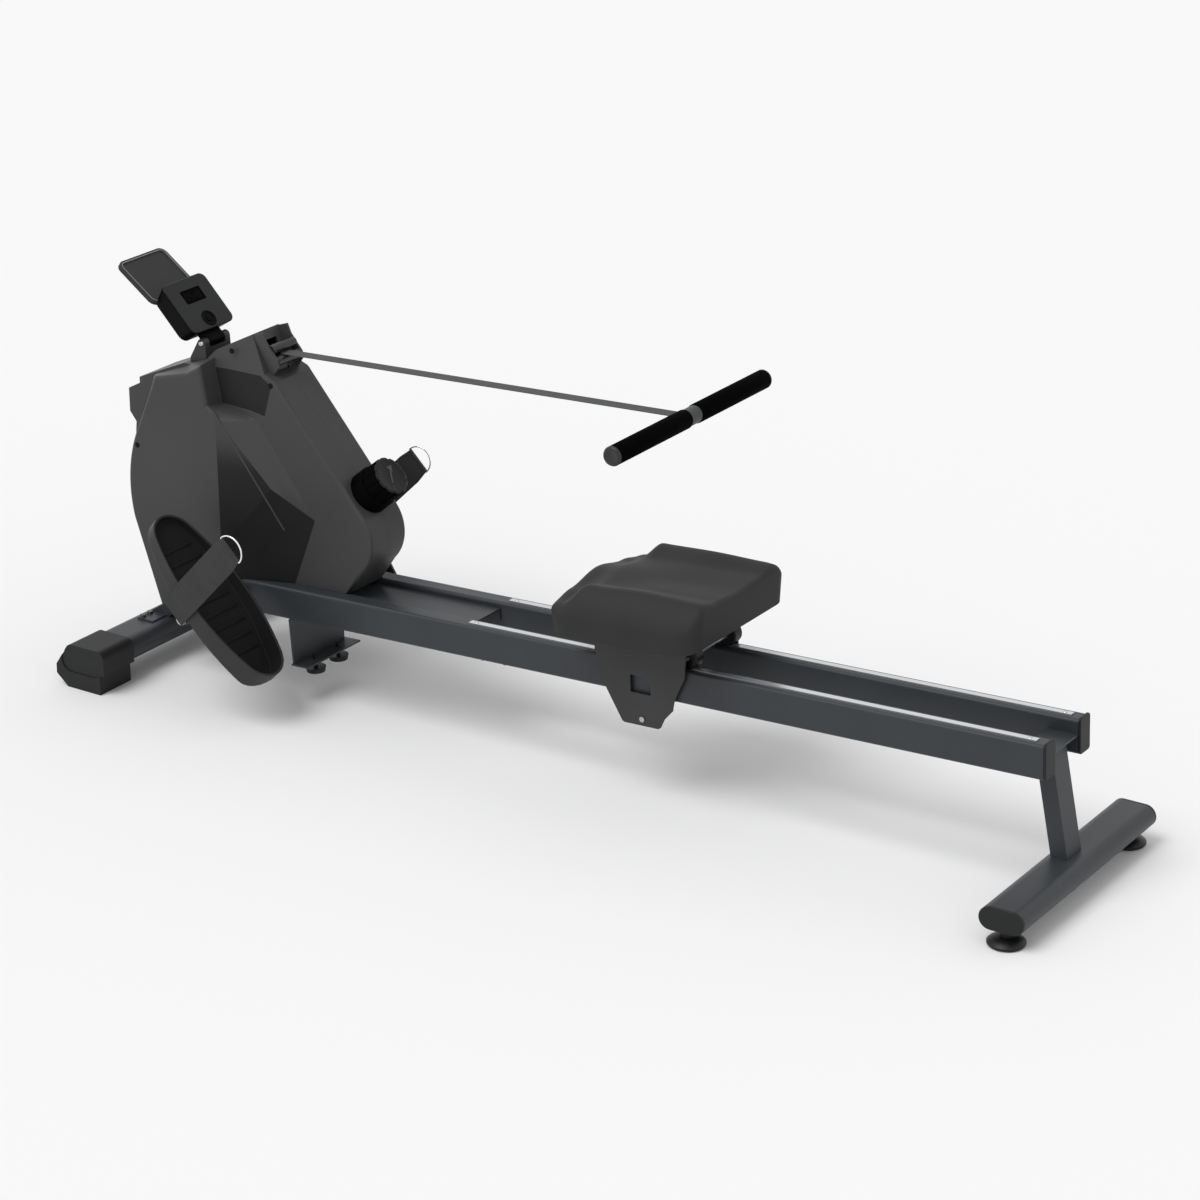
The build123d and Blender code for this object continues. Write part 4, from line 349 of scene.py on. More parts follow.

# painted shade: the upper facet's colour is darkened towards its foot, by height, standing in for the
# shade where the real cover curves away
fall_top, fall_foot, fall_share = 0.500, 0.425, 0.27
graph = upper_facet_painted_shade.node_tree
parted = graph.nodes.new("ShaderNodeSeparateXYZ")
fall = graph.nodes.new("ShaderNodeMapRange")
fall.interpolation_type = "SMOOTHSTEP"
fall.inputs["From Min"].default_value = fall_foot
fall.inputs["From Max"].default_value = fall_top
fall.inputs["To Min"].default_value = fall_share
fall.inputs["To Max"].default_value = 1.0
darker = graph.nodes.new("ShaderNodeVectorMath")
darker.operation = "SCALE"
place = next(n for n in graph.nodes if n.type == "TEX_COORD")
shades = next(n for n in graph.nodes if n.type == "VALTORGB")
graph.links.new(place.outputs["Object"], parted.inputs["Vector"])
graph.links.new(parted.outputs["Z"], fall.inputs["Value"])
graph.links.new(shades.outputs["Color"], darker.inputs[0])
graph.links.new(fall.outputs["Result"], darker.inputs["Scale"])
graph.links.new(darker.outputs["Vector"], graph.nodes["Principled BSDF"].inputs["Base Color"])
shell_side, panel_recess, panel_foot, panel_area = 0.053, 0.001, 0.5, 0.001
facet_area, facet_proud, facet_split = 0.0015, 0.01, 0.36
least_lean, most_lean = 0.955, 0.9985
for hand in ("left", "right"):
    half = softened(f"housing_{hand}", f"shell_{hand}", shell, 0, angle=28, flat=0.3)
    for darker_finish in (panel, lower_facet_painted_shade, upper_facet_painted_shade):
        half.data.materials.append(darker_finish)
    for face in half.data.polygons:
        lean, proud = abs(face.normal.y), abs(face.center.y) - shell_side
        # the faces of each cover's two facets get painted shade: the lower facet a dark finish, the
        # upper one the painted fall
        if face.area > facet_area and least_lean < lean < most_lean and proud > facet_proud:
            face.material_index = 2 if face.center.z < facet_split else 3
        recessed = abs(proud + panel_recess) < panel_recess / 2 and face.center.z > panel_foot
        if recessed and lean > 0.9 and face.area > panel_area:
            face.material_index = 1


# Housing screws: the halves are screwed together from both sides, through deep wells. A thin
# dark disc stands for the shade in each well.
well_painted_shade = finish("screw_well_painted_shade", (0.004, 0.004, 0.004), 0.6, specular=0.1)
well_radius, well_proud, well_sunk = 0.0052, 0.0004, 0.0008
well_outline = [(0, well_proud), (well_radius, well_proud), (well_radius, -well_sunk), (0, -well_sunk)]
cover_side = 0.092
well_places = [(-0.713, 0.642, shell_side), (-0.627, 0.592, shell_side), (-0.912, 0.437, cover_side)]
bm = bmesh.new()
for side in (-1, 1):
    for x, z, face_y in well_places:
        well_place = upright((x, side * face_y, z), (0, side, 0), side=(0, 0, 1))
        turned_shape(bm, well_outline, well_place, steps=20)
make_piece(bm, "housing_screw_well_shades", well_painted_shade, "frame")


# Cover beads: a thin line moulded with each cover, in its plastic. It runs down from below the
# dark panel and over the fold between the two facets.
bead_path = [(-0.7284, 0.0920, 0.5352), (-0.6923, 0.0877, 0.4820), (-0.6291, 0.0793, 0.3885),
             (-0.5976, 0.0658, 0.3278)]
bead_radius, bead_sink = 0.0019, 0.0006
for hand, side in (("left", -1), ("right", 1)):
    stops = [Vector((x, side * (y - bead_sink), z)) for x, y, z in bead_path]
    bm = bmesh.new()
    for start, stop in zip(stops, stops[1:]):
        bmesh.ops.create_cone(bm, cap_ends=True, segments=20, radius1=bead_radius, radius2=bead_radius,
                              depth=(stop - start).length + bead_radius,
                              matrix=upright((start + stop) / 2, stop - start))
    make_piece(bm, f"cover_bead_{hand}", shell, "frame", smooth_angle=40)


# Strap outlet and its two rollers: moulded cheeks in the housing's plastic, and rollers of a
# harder dark plastic that shine a little where the strap polishes them.
softened("strap_outlet", "outlet", shell, 0.0006, flat=0.5)
polished_plastic = finish("roller_plastic", (0.014, 0.014, 0.015), 0.3, specular=0.4, grain=1500,
                          depth=0.00002)
dress(polished_plastic, "guide_roller_lower", "guide_roller_upper", "drive_pulley", "strap_spool")


# Works inside the housing: a turned iron flywheel, painted steel plates and magnet arm, a rubber
# belt and a black cable. They show only through the gaps, in the finish that such parts have.
turned_iron = finish("turned_iron", (0.20, 0.20, 0.21), 0.38, specular=0.5, metal=0.9, grain=500,
                     depth=0.00003)
black_paint = finish("black_paint", (0.022, 0.023, 0.024), 0.42, specular=0.3, grain=600,
                     depth=0.00005)
dress(turned_iron, "flywheel")
dress(black_paint, "mast", "magnet_arm", "seat_plate")
dress(rubber, "drive_belt", "brake_cable")


# Pull strap: grey woven polyester webbing, from the drum up over the lower roller and on to the
# handle's collar. It runs out with the handle; here it is built at rest and left with no parent.
def webbing(name, color, turn, pitch=0.0016, depth=0.00025):
    """Woven tape: ribs across the strap over fine ribs along it, with a slow change of tone."""
    material = finish(name, color, 0.75, specular=0.15, grain=900, depth=0.00006, tone=0.10,
                      tone_size=30, turn=turn)
    graph = material.node_tree
    turned = next(n for n in graph.nodes if n.type == "MAPPING")
    grain_height = next(n for n in graph.nodes if n.type == "BUMP")
    across = graph.nodes.new("ShaderNodeTexWave")
    across.bands_direction = "X"
    across.inputs["Scale"].default_value = 1 / pitch / 20
    along = graph.nodes.new("ShaderNodeTexWave")
    along.bands_direction = "Y"
    along.inputs["Scale"].default_value = 1 / pitch / 20
    woven = graph.nodes.new("ShaderNodeMath")
    woven.operation = "MULTIPLY"
    for wave, port in ((across, 0), (along, 1)):
        wave.inputs["Distortion"].default_value = 0.4
        graph.links.new(turned.outputs["Vector"], wave.inputs["Vector"])
        graph.links.new(wave.outputs["Fac"], woven.inputs[port])
    ribs = graph.nodes.new("ShaderNodeBump")
    ribs.inputs["Distance"].default_value = depth
    graph.links.new(woven.outputs[0], ribs.inputs["Height"])
    graph.links.new(grain_height.outputs["Normal"], ribs.inputs["Normal"])
    graph.links.new(ribs.outputs["Normal"], graph.nodes["Principled BSDF"].inputs["Normal"])
    return material


joint_place = {j["name"]: Vector(j["pos_m"]) for j in frame["joints"] if "pos_m" in j}
strap_low, strap_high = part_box("pull_strap")
strap_axis = joint_axis["handle_pull"].normalized()
strap_turn = math.atan2(strap_axis.z, strap_axis.x)
strap_web = webbing("strap_webbing", (0.085, 0.086, 0.088), (0, strap_turn, 0))
roller_place = joint_place["guide_roller_lower_turn"]
strap_half_width, strap_half_thick = (strap_high.y - strap_low.y) / 2, 0.00075
bm = bmesh.new()
bmesh.ops.create_grid(bm, x_segments=1, y_segments=4, size=1.0)
bmesh.ops.scale(bm, vec=(strap_half_thick, strap_half_width, 1), verts=bm.verts)
bmesh.ops.translate(bm, vec=(strap_low.x + strap_half_thick, 0, strap_low.z), verts=bm.verts)


def points_of(geom):
    """The points among the elements that an operator returns."""
    return [g for g in geom if isinstance(g, bmesh.types.BMVert)]


def run_on(bm, end, matrix, steps):
    """Extrudes the end faces of a tape in steps that each move by a matrix, to a new end."""
    for step in range(steps):
        grown = bmesh.ops.extrude_face_region(bm, geom=end)["geom"]
        bmesh.ops.transform(bm, matrix=matrix, verts=points_of(grown))
        bmesh.ops.delete(bm, geom=end, context="FACES_ONLY")
        end = [g for g in grown if isinstance(g, bmesh.types.BMFace)]
    return end


rise_steps, turn_steps, run_steps = 6, 10, 140
rise = Vector((0, 0, roller_place.z - strap_low.z))
turn_step = Matrix.Rotation((math.pi / 2 - strap_turn) / turn_steps, 4, "Y")
turn_step = Matrix.Translation(roller_place) @ turn_step @ Matrix.Translation(-roller_place)
end = run_on(bm, bm.faces[:], Matrix.Translation(rise / rise_steps), rise_steps)
end = run_on(bm, end, turn_step, turn_steps)
end_middle = sum((f.calc_center_median() for f in end), Vector()) / len(end)
strap_end_gap, blend_lead = 0.0002, 0.04
strap_run = (strap_high.x - end_middle.x) / strap_axis.x - strap_end_gap
run_on(bm, end, Matrix.Translation(strap_axis * (strap_run / run_steps)), run_steps)
pull_strap = make_piece(bm, "strap", strap_web, "frame", smooth_angle=50)
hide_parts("pull_strap")
pull_strap.parent = None
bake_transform(pull_strap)


# Handle: a steel tube with two sleeves of black closed-cell foam slid on, soft round-edged end
# caps, and a grey moulded collar in the middle that the strap is sewn round.
foam = finish("grip_foam", (0.0012, 0.0012, 0.0012), 0.9, specular=0.02, grain=1300, depth=0.00018,
              tone=0.25, tone_size=40)
collar_plastic = finish("collar_plastic", (0.046, 0.047, 0.048), 0.45, specular=0.25, grain=1100,
                        depth=0.00004)
bar_low, bar_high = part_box("handle_bar")
grip_low, grip_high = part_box("handle_grips")
cap_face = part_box("handle_end_caps")[1].y
bar_middle = (bar_low + bar_high) / 2
grip_radius = (grip_high.z - grip_low.z) / 2
bar_radius = (bar_high.z - bar_low.z) / 2
handle_ends = [upright(bar_middle, (0, side, 0), side=(0, 0, 1)) for side in (-1, 1)]
collar_half, sleeve_gap, sleeve_round = 0.015, 0.0003, 0.0022
near, far = collar_half + sleeve_gap, grip_high.y - sleeve_gap
sleeve_flat, sleeve_arc = grip_radius - sleeve_round, sleeve_round * 0.3
bm = bmesh.new()
for handle_end in handle_ends:
    outline = [(bar_radius, near), (sleeve_flat, near), (grip_radius - sleeve_arc, near + sleeve_arc),
               (grip_radius, near + sleeve_round), (grip_radius, far - sleeve_round),
               (grip_radius - sleeve_arc, far - sleeve_arc), (sleeve_flat, far), (bar_radius, far),
               (bar_radius, near)]
    turned_shape(bm, outline, handle_end, steps=64)
grips = make_piece(bm, "foam_grips", foam, "handle", smooth_angle=40)
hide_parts("handle_grips")
dress(black_paint, "handle_bar")
softened("handle_collar", "collar", collar_plastic, 0.0008, flat=0.5, angle=40)
end_plastic = finish("end_cap_plastic", (0.024, 0.024, 0.025), 0.35, specular=0.3, grain=1000,
                     depth=0.00003)
edge, cap_sink, cap_plug, plug_fit = grip_high.y, 0.0012, 0.012, 0.002
bm = bmesh.new()
for handle_end in handle_ends:
    outline = [(0, cap_face - cap_sink), (grip_radius * 0.55, cap_face - 0.0010),
               (grip_radius * 0.62, cap_face - 0.0002), (grip_radius * 0.80, cap_face),
               (grip_radius * 0.93, cap_face - 0.0011), (grip_radius, cap_face - 0.0034),
               (grip_radius, edge), (bar_radius, edge), (bar_radius - plug_fit, edge - cap_plug),
               (0, edge - cap_plug)]
    turned_shape(bm, outline, handle_end, steps=64)
caps = make_piece(bm, "grip_end_caps", end_plastic, "handle", smooth_angle=40)
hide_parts("handle_end_caps")


# Resistance knob: a round base screwed to the housing's slope and a fluted cap that turns on it,
# both matt black. The cap has a turned-down rim and a raised pointer in its dished top.
knob_black = finish("knob_black", (0.0010, 0.0010, 0.0010), 0.7, specular=0.03, grain=1200,
                    depth=0.00005)
knob_top = finish("knob_top", (0.018, 0.018, 0.018), 0.45, specular=0.12, grain=1400, depth=0.00003)
knob_mark = finish("knob_mark", (0.055, 0.055, 0.055), 0.45, specular=0.3, grain=900, depth=0.00002)
softened("knob_base", "knob_foot", knob_black, 0, flat=0.3)
knob_place = joint_place["tension_turn"]
knob_axis = joint_axis["tension_turn"]
knob_frame = upright(knob_place, knob_axis, side=(0, 1, 0))
knob_radius, knob_low, knob_high = 0.037, 0.0303, 0.0680
flutes, flute_depth = 12, 0.0022
bm = bmesh.new()
bmesh.ops.create_circle(bm, cap_ends=False, segments=144, radius=knob_radius)
for v in bm.verts:
    turn = math.atan2(v.co.y, v.co.x)
    hollow = max(math.cos(flutes * turn), 0) ** 1.6
    v.co = v.co * (1 - hollow * flute_depth / knob_radius)
rims = [(1.0, knob_high - 0.004), (0.985, knob_high - 0.0018), (0.93, knob_high - 0.0002),
        (0.86, knob_high), (0.80, knob_high - 0.0012), (0.30, knob_high - 0.0016)]
bmesh.ops.translate(bm, vec=(0, 0, knob_low), verts=bm.verts)
bottom_ring = ring = bm.edges[:]
wide_before = 1.0
for wide, high in rims:
    grown = bmesh.ops.extrude_edge_only(bm, edges=ring)["geom"]
    ring = [g for g in grown if isinstance(g, bmesh.types.BMEdge)]
    for v in points_of(grown):
        v.co.x *= wide / wide_before
        v.co.y *= wide / wide_before
        v.co.z = high
    wide_before = wide
bmesh.ops.contextual_create(bm, geom=ring)
bmesh.ops.contextual_create(bm, geom=bottom_ring)
bmesh.ops.transform(bm, matrix=knob_frame, verts=bm.verts)
dial = make_piece(bm, "knob_cap", knob_black, "knob", smooth_angle=40)
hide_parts("tension_knob")
dial.data.materials.append(knob_top)
dish_depth = 0.0025
for face in dial.data.polygons:
    if (face.center - knob_place).dot(knob_axis) > knob_high - dish_depth:
        face.material_index = 1


def raise_faces(bm, height):
    """Gives the flat faces of a bmesh a thickness along z."""
    grown = bmesh.ops.extrude_face_region(bm, geom=bm.faces[:])["geom"]
    bmesh.ops.translate(bm, vec=(0, 0, height), verts=points_of(grown))


arrow_radius, arrow_reach = 0.0085, 0.015
shaft_half_length, shaft_half_width, shaft_back = 0.012, 0.0018, 0.003
pointer_height, pointer_sink, pointer_turn = 0.0012, 0.0018, math.radians(150)
bm = bmesh.new()
arrow = bmesh.ops.create_circle(bm, cap_ends=True, segments=3, radius=arrow_radius)["verts"]
bmesh.ops.translate(bm, vec=(arrow_reach, 0, 0), verts=arrow)
shaft = bmesh.ops.create_grid(bm, x_segments=1, y_segments=1, size=1.0)["verts"]
bmesh.ops.scale(bm, vec=(shaft_half_length, shaft_half_width, 1), verts=shaft)
bmesh.ops.translate(bm, vec=(-shaft_back, 0, 0), verts=shaft)
raise_faces(bm, pointer_height)
pointer_lift = Matrix.Translation((0, 0, knob_high - pointer_sink))
bmesh.ops.transform(bm, matrix=knob_frame @ Matrix.Rotation(pointer_turn, 4, "Z") @ pointer_lift,
                    verts=bm.verts)
make_piece(bm, "knob_pointer", knob_mark, "knob", smooth_angle=20)


# Console: a matt-black moulded case with a slightly paler face and a dark display window. It
# tilts on the neck, and the phone rack is fixed to its back.
case_black = finish("console_case", (0.0016, 0.0016, 0.0017), 0.45, specular=0.04, grain=1300,
                    depth=0.00003)
window = finish("display_window", (0.0005, 0.0005, 0.0005), 0.2, specular=0.015, grain=800,
                depth=0.000005)
case_face = finish("console_face", (0.018, 0.0185, 0.019), 0.42, specular=0.15, grain=1300,
                   depth=0.00003)
case_tilt = math.radians(46.1)
case_up = Vector((-math.cos(case_tilt), 0, math.sin(case_tilt)))
case_out = Vector((math.sin(case_tilt), 0, math.cos(case_tilt)))
hinge = joint_place["console_tilt"]
case_front, face_depth = 0.0202, 0.004
case = softened("console_body", "console_case", case_black, 0, flat=0.3, angle=40)
case.data.materials.append(case_face)
for face in case.data.polygons:
    if (face.center - hinge).dot(case_out) > case_front - face_depth and face.normal.dot(case_out) > 0.6:
        face.material_index = 1
dress(window, "console_screen")


# Phone rack and neck: the rack is a shallow tray with a pale strip inside its rim. The neck stands
# on the housing, and the console tilts on a bolt through its two ears.
rack_plastic = finish("rack_plastic", (0.028, 0.028, 0.029), 0.5, specular=0.18, grain=1000,
                      depth=0.00005)
softened("phone_holder", "phone_rack", rack_plastic, 0.0008, flat=0.5, angle=40)
softened("console_neck", "neck", shell, 0.001, flat=0.5, angle=40)
rack_tilt = math.radians(36)
rack_up = Vector((-math.cos(rack_tilt), 0, math.sin(rack_tilt)))
rack_out = Vector((math.sin(rack_tilt), 0, math.cos(rack_tilt)))
rack_foot_up, rack_foot_back = 0.1142, 0.0198
rack_middle_up, rack_face = 0.043, 0.008
rack_foot = hinge + case_up * rack_foot_up - case_out * rack_foot_back
rack_middle = rack_foot + rack_up * rack_middle_up + rack_out * rack_face
strip_half_across, strip_half_up, strip_corner = 0.0605, 0.0495, 0.0115
strip_wide, strip_high_by, strip_sunk = 0.0017, 0.0026, 0.0020
bm = bmesh.new()
corners = bmesh.ops.create_grid(bm, x_segments=1, y_segments=1, size=1.0)["verts"]
bmesh.ops.scale(bm, vec=(strip_half_across, strip_half_up, 1), verts=corners)
bmesh.ops.bevel(bm, geom=corners, offset=strip_corner, segments=8, profile=0.5, affect="VERTICES",
                material=-1)
bmesh.ops.inset_region(bm, faces=bm.faces[:], thickness=strip_wide, use_boundary=True,
                       use_even_offset=True)
middle_face = max(bm.faces, key=lambda f: f.calc_area())
bmesh.ops.delete(bm, geom=[middle_face], context="FACES_ONLY")
raise_faces(bm, strip_high_by)
bmesh.ops.translate(bm, vec=(0, 0, -strip_sunk), verts=bm.verts)
bmesh.ops.transform(bm, matrix=upright(rack_middle, rack_out, side=rack_up), verts=bm.verts)
edge_strip = finish("rack_edge", (0.20, 0.20, 0.205), 0.3, specular=0.4, grain=900, depth=0.00002)
make_piece(bm, "rack_edge_strip", edge_strip, "console", smooth_angle=40)
neck_half, pivot_radius, pivot_height, pivot_cross = 0.036, 0.0055, 0.0024, 0.0016
bm = bmesh.new()
for side in (-1, 1):
    neck_side = upright(hinge + Vector((0, side * neck_half, 0)), (0, side, 0), side=(0, 0, 1))
    screw_head(bm, neck_side, pivot_radius, pivot_height, pivot_cross)
make_piece(bm, "neck_pivot_heads", steel_head, "frame")


# Button: a round cap of the case's black plastic that presses into the console's face. It has a
# raised rim, a ring-shaped groove and a raised middle.
button_low, button_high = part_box("console_button")
button_middle = (button_low + button_high) / 2
button_axis = -joint_axis["button_press"]
button_frame = upright(button_middle, button_axis, side=(0, 1, 0))
button_reach, button_radius, groove_depth = 0.003, 0.016, 0.0018
outline = [(0, -button_reach), (button_radius, -button_reach), (button_radius, button_reach - 0.0008),
           (button_radius * 0.95, button_reach), (button_radius * 0.84, button_reach),
           (button_radius * 0.76, button_reach - 0.0012),
           (button_radius * 0.42, button_reach - groove_depth),
           (button_radius * 0.38, button_reach - 0.0004), (0, button_reach - 0.0002)]
bm = bmesh.new()
turned_shape(bm, outline, button_frame, steps=48)
button = make_piece(bm, "mode_button", case_black, "console_button", smooth_angle=30)
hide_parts("console_button")


# Display: plain digits of straight strokes, as on a liquid-crystal display that is switched off.
# They stand a hair above the window.
digit = finish("display_digit", (0.0045, 0.0048, 0.0048), 0.5, specular=0.05, grain=800, depth=0.00001)
screen_low, screen_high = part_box("console_screen")
screen_frame = upright((screen_low + screen_high) / 2, button_axis, side=(0, 1, 0))
digit_high, digit_wide, stroke, digit_pitch = 0.013, 0.0065, 0.0011, 1.7
digit_height, digit_lift = 0.0002, 0.00095
lit = {"0": "abcdef", "2": "abged", "4": "fgbc", "8": "abcdefg"}
strokes = {"a": (0, 1, 0), "g": (0, 0, 0), "d": (0, -1, 0), "f": (-1, 0.5, 1), "b": (1, 0.5, 1),
           "e": (-1, -0.5, 1), "c": (1, -0.5, 1)}
bm = bmesh.new()
for order, number in enumerate("0248"):
    middle_y = (order - 1.5) * digit_wide * digit_pitch
    for name in lit[number]:
        across, up, standing = strokes[name]
        mark = bmesh.ops.create_grid(bm, x_segments=1, y_segments=1, size=0.5)["verts"]
        size = (digit_high / 2 - stroke, stroke, 1) if standing else (stroke, digit_wide - stroke, 1)
        mark_y = middle_y + across * digit_wide / 2
        bmesh.ops.scale(bm, vec=size, verts=mark)
        bmesh.ops.translate(bm, vec=(up * digit_high / 2, mark_y, 0), verts=mark)
raise_faces(bm, digit_height)
bmesh.ops.transform(bm, matrix=screen_frame @ Matrix.Translation((0, 0, digit_lift)), verts=bm.verts)
make_piece(bm, "display_digits", digit, "console", smooth_angle=20)


# Foot trays: deep oval trays of textured black plastic that tilt on one cross axle. Raised tread
# ribs are moulded across each sole.
tray_plastic = finish("tray_plastic", (0.028, 0.028, 0.029), 0.46, specular=0.25, grain=900,
                      depth=0.00008)
tray_inside = finish("tray_inside", (0.0145, 0.0145, 0.015), 0.6, specular=0.1, grain=900, depth=0.0001)
axle_place = joint_place["pedal_left_tilt"]
tray_tilt = math.radians(44.8)
tray_toe = Vector((-math.cos(tray_tilt), 0, math.sin(tray_tilt)))
tray_out = Vector((math.sin(tray_tilt), 0, math.cos(tray_tilt)))
tray_rise = 0.0445
tray_half_length, heel_depth, sole_rise = 0.178, 0.040, 0.028
rib_first, rib_pitch, rib_count = -0.105, 0.0275, 9
rib_wide, rib_high, rib_sunk, rib_round = 0.006, 0.0028, 0.0006, 0.0009
rib_half_middle, rib_waist = 0.052, 0.11
tray_middles = {}
for hand, side in (("left", -1), ("right", 1)):
    body = f"pedal_{hand}"
    tray = softened(f"pedal_{hand}", f"tray_{hand}", tray_plastic, 0.0012, flat=0.4,
                    angle=40)
    tray.data.materials.append(tray_inside)
    middle = Vector((axle_place.x, side * abs(axle_place.y), axle_place.z)) + tray_out * tray_rise
    tray_middles[hand] = middle
    for face in tray.data.polygons:
        off = face.center - middle
        deep = off.dot(tray_out)
        inward = face.normal.dot(off - tray_out * deep) < 0
        if deep < -0.001 and (inward or face.normal.dot(tray_out) > 0.7):
            face.material_index = 1
    sole_frame = upright(middle, tray_out, side=(0, 1, 0))
    toward_toe = -1 if (sole_frame.to_3x3() @ Vector((1, 0, 0))).dot(tray_toe) < 0 else 1
    slope = math.atan2(sole_rise, tray_half_length * 2)
    rib_turn = Matrix.Rotation(-slope * toward_toe, 3, "Y")
    bm = bmesh.new()
    for number in range(rib_count):
        along = rib_first + number * rib_pitch
        sole = sole_rise * (along + tray_half_length) / (tray_half_length * 2) - heel_depth
        half = rib_half_middle - (along * 3.1) ** 2 * rib_waist
        rib = bmesh.ops.create_cube(bm, size=1.0)["verts"]
        bmesh.ops.scale(bm, vec=(rib_wide, half * 2, rib_high), verts=rib)
        bmesh.ops.rotate(bm, cent=(0, 0, 0), matrix=rib_turn, verts=rib)
        bmesh.ops.translate(bm, vec=(along * toward_toe, 0, sole + rib_high / 2 - rib_sunk), verts=rib)
    bmesh.ops.bevel(bm, geom=bm.edges[:], offset=rib_round, segments=2, profile=0.5, affect="EDGES",
                    material=-1)
    bmesh.ops.transform(bm, matrix=sole_frame, verts=bm.verts)
    make_piece(bm, f"tray_ribs_{hand}", tray_inside, body, smooth_angle=40)


# Foot straps: a stiff webbing band stands up from each tray's outer wall. It is stitched at its
# foot and folded to a hem at its free end, which holds a welded steel ring.
band_length, band_half, band_thick, band_bow = 0.224, 0.029, 0.002, 0.0006
band_lean = math.radians(5.5)
band_toward_toe, band_below, band_across = 0.021, 0.048, 0.0723
hem_half, hem_taper, hem_radius, hem_wall = 0.0252, 0.027, 0.0030, 0.0010
stitch_size, stitch_proud = (0.0022, 0.0008, 0.0006), 0.0003
stitch_rows = [(-0.012, 0.0031), (-0.016, 0.0031), (0.052 - band_length, 0.0040),
               (0.060 - band_length, 0.0040)]
tread_web = webbing("pedal_webbing", (0.042, 0.042, 0.043), (0, math.radians(45.2), 0), pitch=0.0022)
thread = finish("strap_thread", (0.10, 0.10, 0.10), 0.6, specular=0.2, grain=900, depth=0.00004)
chrome_ring = finish("ring_chrome", (0.88, 0.88, 0.89), 0.16, specular=0.5, metal=1.0, grain=900,
                     depth=0.000005, tone=0.03)
for hand, side in (("left", -1), ("right", 1)):
    body, middle = f"pedal_{hand}", tray_middles[hand]
    strap_up = tray_out * math.cos(band_lean) + Vector((0, side * math.sin(band_lean), 0))
    face_out = tray_toe.cross(strap_up)
    if face_out.y * side < 0:
        face_out = -face_out
    strap_foot = middle + tray_toe * band_toward_toe - tray_out * band_below
    strap_foot.y += side * band_across
    bm = bmesh.new()
    grid = bmesh.ops.create_grid(bm, x_segments=12, y_segments=40, size=0.5)["verts"]
    for v in grid:
        up = (v.co.y + 0.5) * band_length
        across = v.co.x * 2
        taper = max((up - (band_length - hem_taper)) / hem_taper, 0)
        wide = band_half + (hem_half - band_half) * min(taper, 1)
        out = band_thick / 2 + band_bow * math.sin(up / band_length * math.pi) * (1 - across * across)
        v.co = strap_foot + tray_toe * (across * wide) + strap_up * up + face_out * out
    bmesh.ops.solidify(bm, geom=bm.faces[:], thickness=band_thick * 0.8)
    if side < 0:
        # both bands get their thickness towards the same side, so the left one is moved out
        bmesh.ops.translate(bm, vec=face_out * (band_thick * 0.4), verts=bm.verts)
    band = make_piece(bm, f"foot_strap_{hand}", tread_web, body, smooth_angle=50)
    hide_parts(f"pedal_strap_{hand}")

    ring_place = strap_foot + strap_up * band_length + face_out * (band_thick / 2)
    hem_frame = Matrix((tray_toe, strap_up, tray_toe.cross(strap_up))).transposed().to_4x4()
    hem_frame = Matrix.Translation(ring_place) @ hem_frame
    bm = bmesh.new()
    bmesh.ops.create_circle(bm, cap_ends=False, segments=24, radius=hem_radius,
                            matrix=Matrix.Rotation(math.pi / 2, 4, "Y"))
    grown = bmesh.ops.extrude_edge_only(bm, edges=bm.edges[:])["geom"]
    bmesh.ops.translate(bm, vec=(hem_half * 2, 0, 0), verts=points_of(grown))
    bmesh.ops.translate(bm, vec=(-hem_half, 0, 0), verts=bm.verts)
    bmesh.ops.transform(bm, matrix=hem_frame, verts=bm.verts)
    bmesh.ops.recalc_face_normals(bm, faces=bm.faces)
    bmesh.ops.solidify(bm, geom=bm.faces[:], thickness=hem_wall)
    make_piece(bm, f"strap_hem_{hand}", tread_web, body, smooth_angle=50)

    bm = bmesh.new()
    for up, stitch_pitch in stitch_rows:
        for number in range(-6, 7):
            stitch = bmesh.ops.create_uvsphere(bm, u_segments=6, v_segments=4, radius=0.5)["verts"]
            bmesh.ops.scale(bm, vec=stitch_size, verts=stitch)
            bmesh.ops.translate(bm, vec=(number * stitch_pitch, up, 0), verts=stitch)
    stitch_lift = Matrix.Translation(face_out * (band_thick / 2 + stitch_proud))
    bmesh.ops.transform(bm, matrix=stitch_lift @ hem_frame, verts=bm.verts)
    make_piece(bm, f"strap_stitches_{hand}", thread, body, smooth_angle=60)
    dress(chrome_ring, f"pedal_ring_{hand}")


# Seat cushion: moulded foam with raised sides and rear, a dished middle and a hump between two
# thigh channels at its front. It is bolted to a steel plate.
seat_skin = finish("seat_skin", (0.028, 0.028, 0.029), 0.6, specular=0.15, grain=1500, depth=0.00012,
                   tone=0.07, tone_size=14)
rail_end = Vector((0.93622, 0, 0.2852))
pad_from_end, pad_over_rail = 0.7547, 0.0483
pad_bottom = rail_end - seat_axis * pad_from_end + rail_up * pad_over_rail
pad_frame = upright(pad_bottom, rail_up, side=(0, 1, 0))
pad_length, pad_width, pad_height, pad_corner = 0.300, 0.310, 0.098, 0.034
pad_round, pad_draw, under_round = 0.011, 0.004, 0.4
pad_lift, pad_lift_length = 0.015, 0.104
border_reach, border_fall = 1.05, 1.8

# A section's values are its place along the pad, the height of its edge, the height and place
# across of its rim, the same of its dip, and the height of its middle, in shares of the pad.
pad_sections = [
    (-0.56, 0.44, 0.50, 0.90, 0.62, 0.50, 0.74), (-0.42, 0.44, 0.58, 0.84, 0.66, 0.52, 0.80),
    (-0.27, 0.42, 0.93, 0.75, 0.80, 0.45, 0.86), (0.10, 0.42, 0.97, 0.72, 0.84, 0.42, 0.79),
    (0.40, 0.44, 0.95, 0.72, 0.86, 0.42, 0.82), (0.56, 0.48, 0.91, 0.72, 0.87, 0.42, 0.84)]


def ease(t):
    """A smooth step from 0 to 1."""
    t = min(max(t, 0), 1)
    return t * t * (3 - 2 * t)


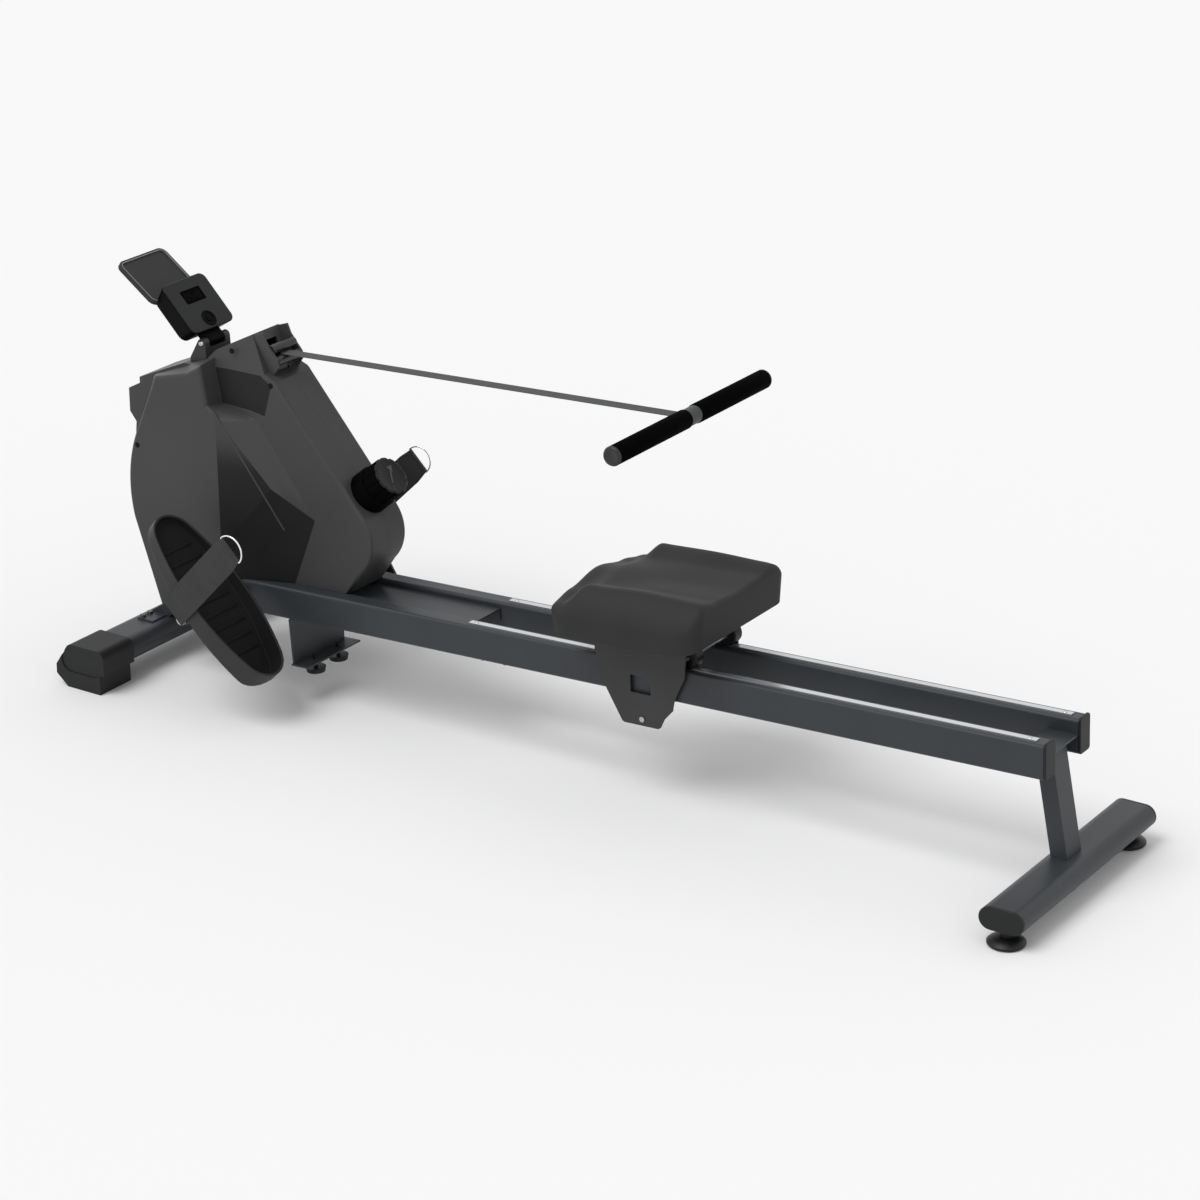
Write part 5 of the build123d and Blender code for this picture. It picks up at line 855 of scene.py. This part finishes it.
def pad_top(along, across):
    """The cushion's height at a share of its length and of its half width."""
    row = pad_sections[0]
    for before, after in zip(pad_sections, pad_sections[1:]):
        if along >= before[0]:
            t = ease((along - before[0]) / (after[0] - before[0])) if along < after[0] else 1
            row = [a + (b - a) * t for a, b in zip(before, after)]
    _, edge, rim, rim_y, dip, dip_y, top = row
    y = abs(across)
    if y < dip_y:
        share = top + (dip - top) * ease(y / dip_y)
    elif y < rim_y:
        share = dip + (rim - dip) * ease((y - dip_y) / (rim_y - dip_y))
    else:
        share = rim + (edge - rim) * ((y - rim_y) / (border_reach - rim_y)) ** border_fall
    return share * pad_height


half_x, half_y = pad_length / 2, pad_width / 2
bm = bmesh.new()
skins = [bmesh.ops.create_grid(bm, x_segments=80, y_segments=88, size=1.0)["verts"]
         for skin in ("top", "underside")]
for upper, skin in zip((True, False), skins):
    inset = 0 if upper else pad_draw
    for v in skin:
        # the squares get smaller towards the border, where the foam rounds over
        x = (1.5 * v.co.x - 0.5 * v.co.x ** 3) * (half_x - inset)
        y = (1.5 * v.co.y - 0.5 * v.co.y ** 3) * (half_y - inset)
        corner = pad_corner - inset
        core = Vector((min(max(x, corner - half_x + inset), half_x - inset - corner),
                       min(max(y, corner - half_y + inset), half_y - inset - corner)))
        off = Vector((x, y)) - core
        if off.length > 0:
            off = off * (max(abs(off.x), abs(off.y)) / off.length)
        v.co.x, v.co.y = core.x + off.x, core.y + off.y
        short = max(pad_round - (corner - off.length), 0)
        drop = pad_round - math.sqrt(max(pad_round ** 2 - short ** 2, 0))
        if upper:
            v.co.z = pad_top(v.co.x / pad_length, v.co.y / half_y) - drop
        else:
            risen = max((v.co.x - half_x + pad_lift_length) / pad_lift_length, 0)
            v.co.z = pad_lift * risen ** 2 + drop * under_round
underside = set(skins[1])
bmesh.ops.reverse_faces(bm, faces=[f for f in bm.faces if f.verts[0] in underside])
bmesh.ops.bridge_loops(bm, edges=[e for e in bm.edges if e.is_boundary])
bmesh.ops.transform(bm, matrix=pad_frame, verts=bm.verts)
cushion = make_piece(bm, "cushion", seat_skin, "seat", smooth_angle=60)
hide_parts("seat_pad")


# Carriage: two steel side plates, painted black, that hang from the seat plate outside the rails.
# They carry black plastic rollers that run over and under the rails.
carriage_paint = finish("carriage_paint", (0.033, 0.033, 0.034), 0.45, specular=0.3, grain=500,
                        depth=0.00005)
for hand in ("left", "right"):
    softened(f"carriage_plate_{hand}", f"side_plate_{hand}", carriage_paint, 0.0008,
             flat=0.4, angle=40)
roller_black = finish("roller_black", (0.004, 0.004, 0.004), 0.4, specular=0.2, grain=900, depth=0.00003)
dress(roller_black, "seat_rollers_front", "seat_rollers_rear", "seat_rollers_lower")
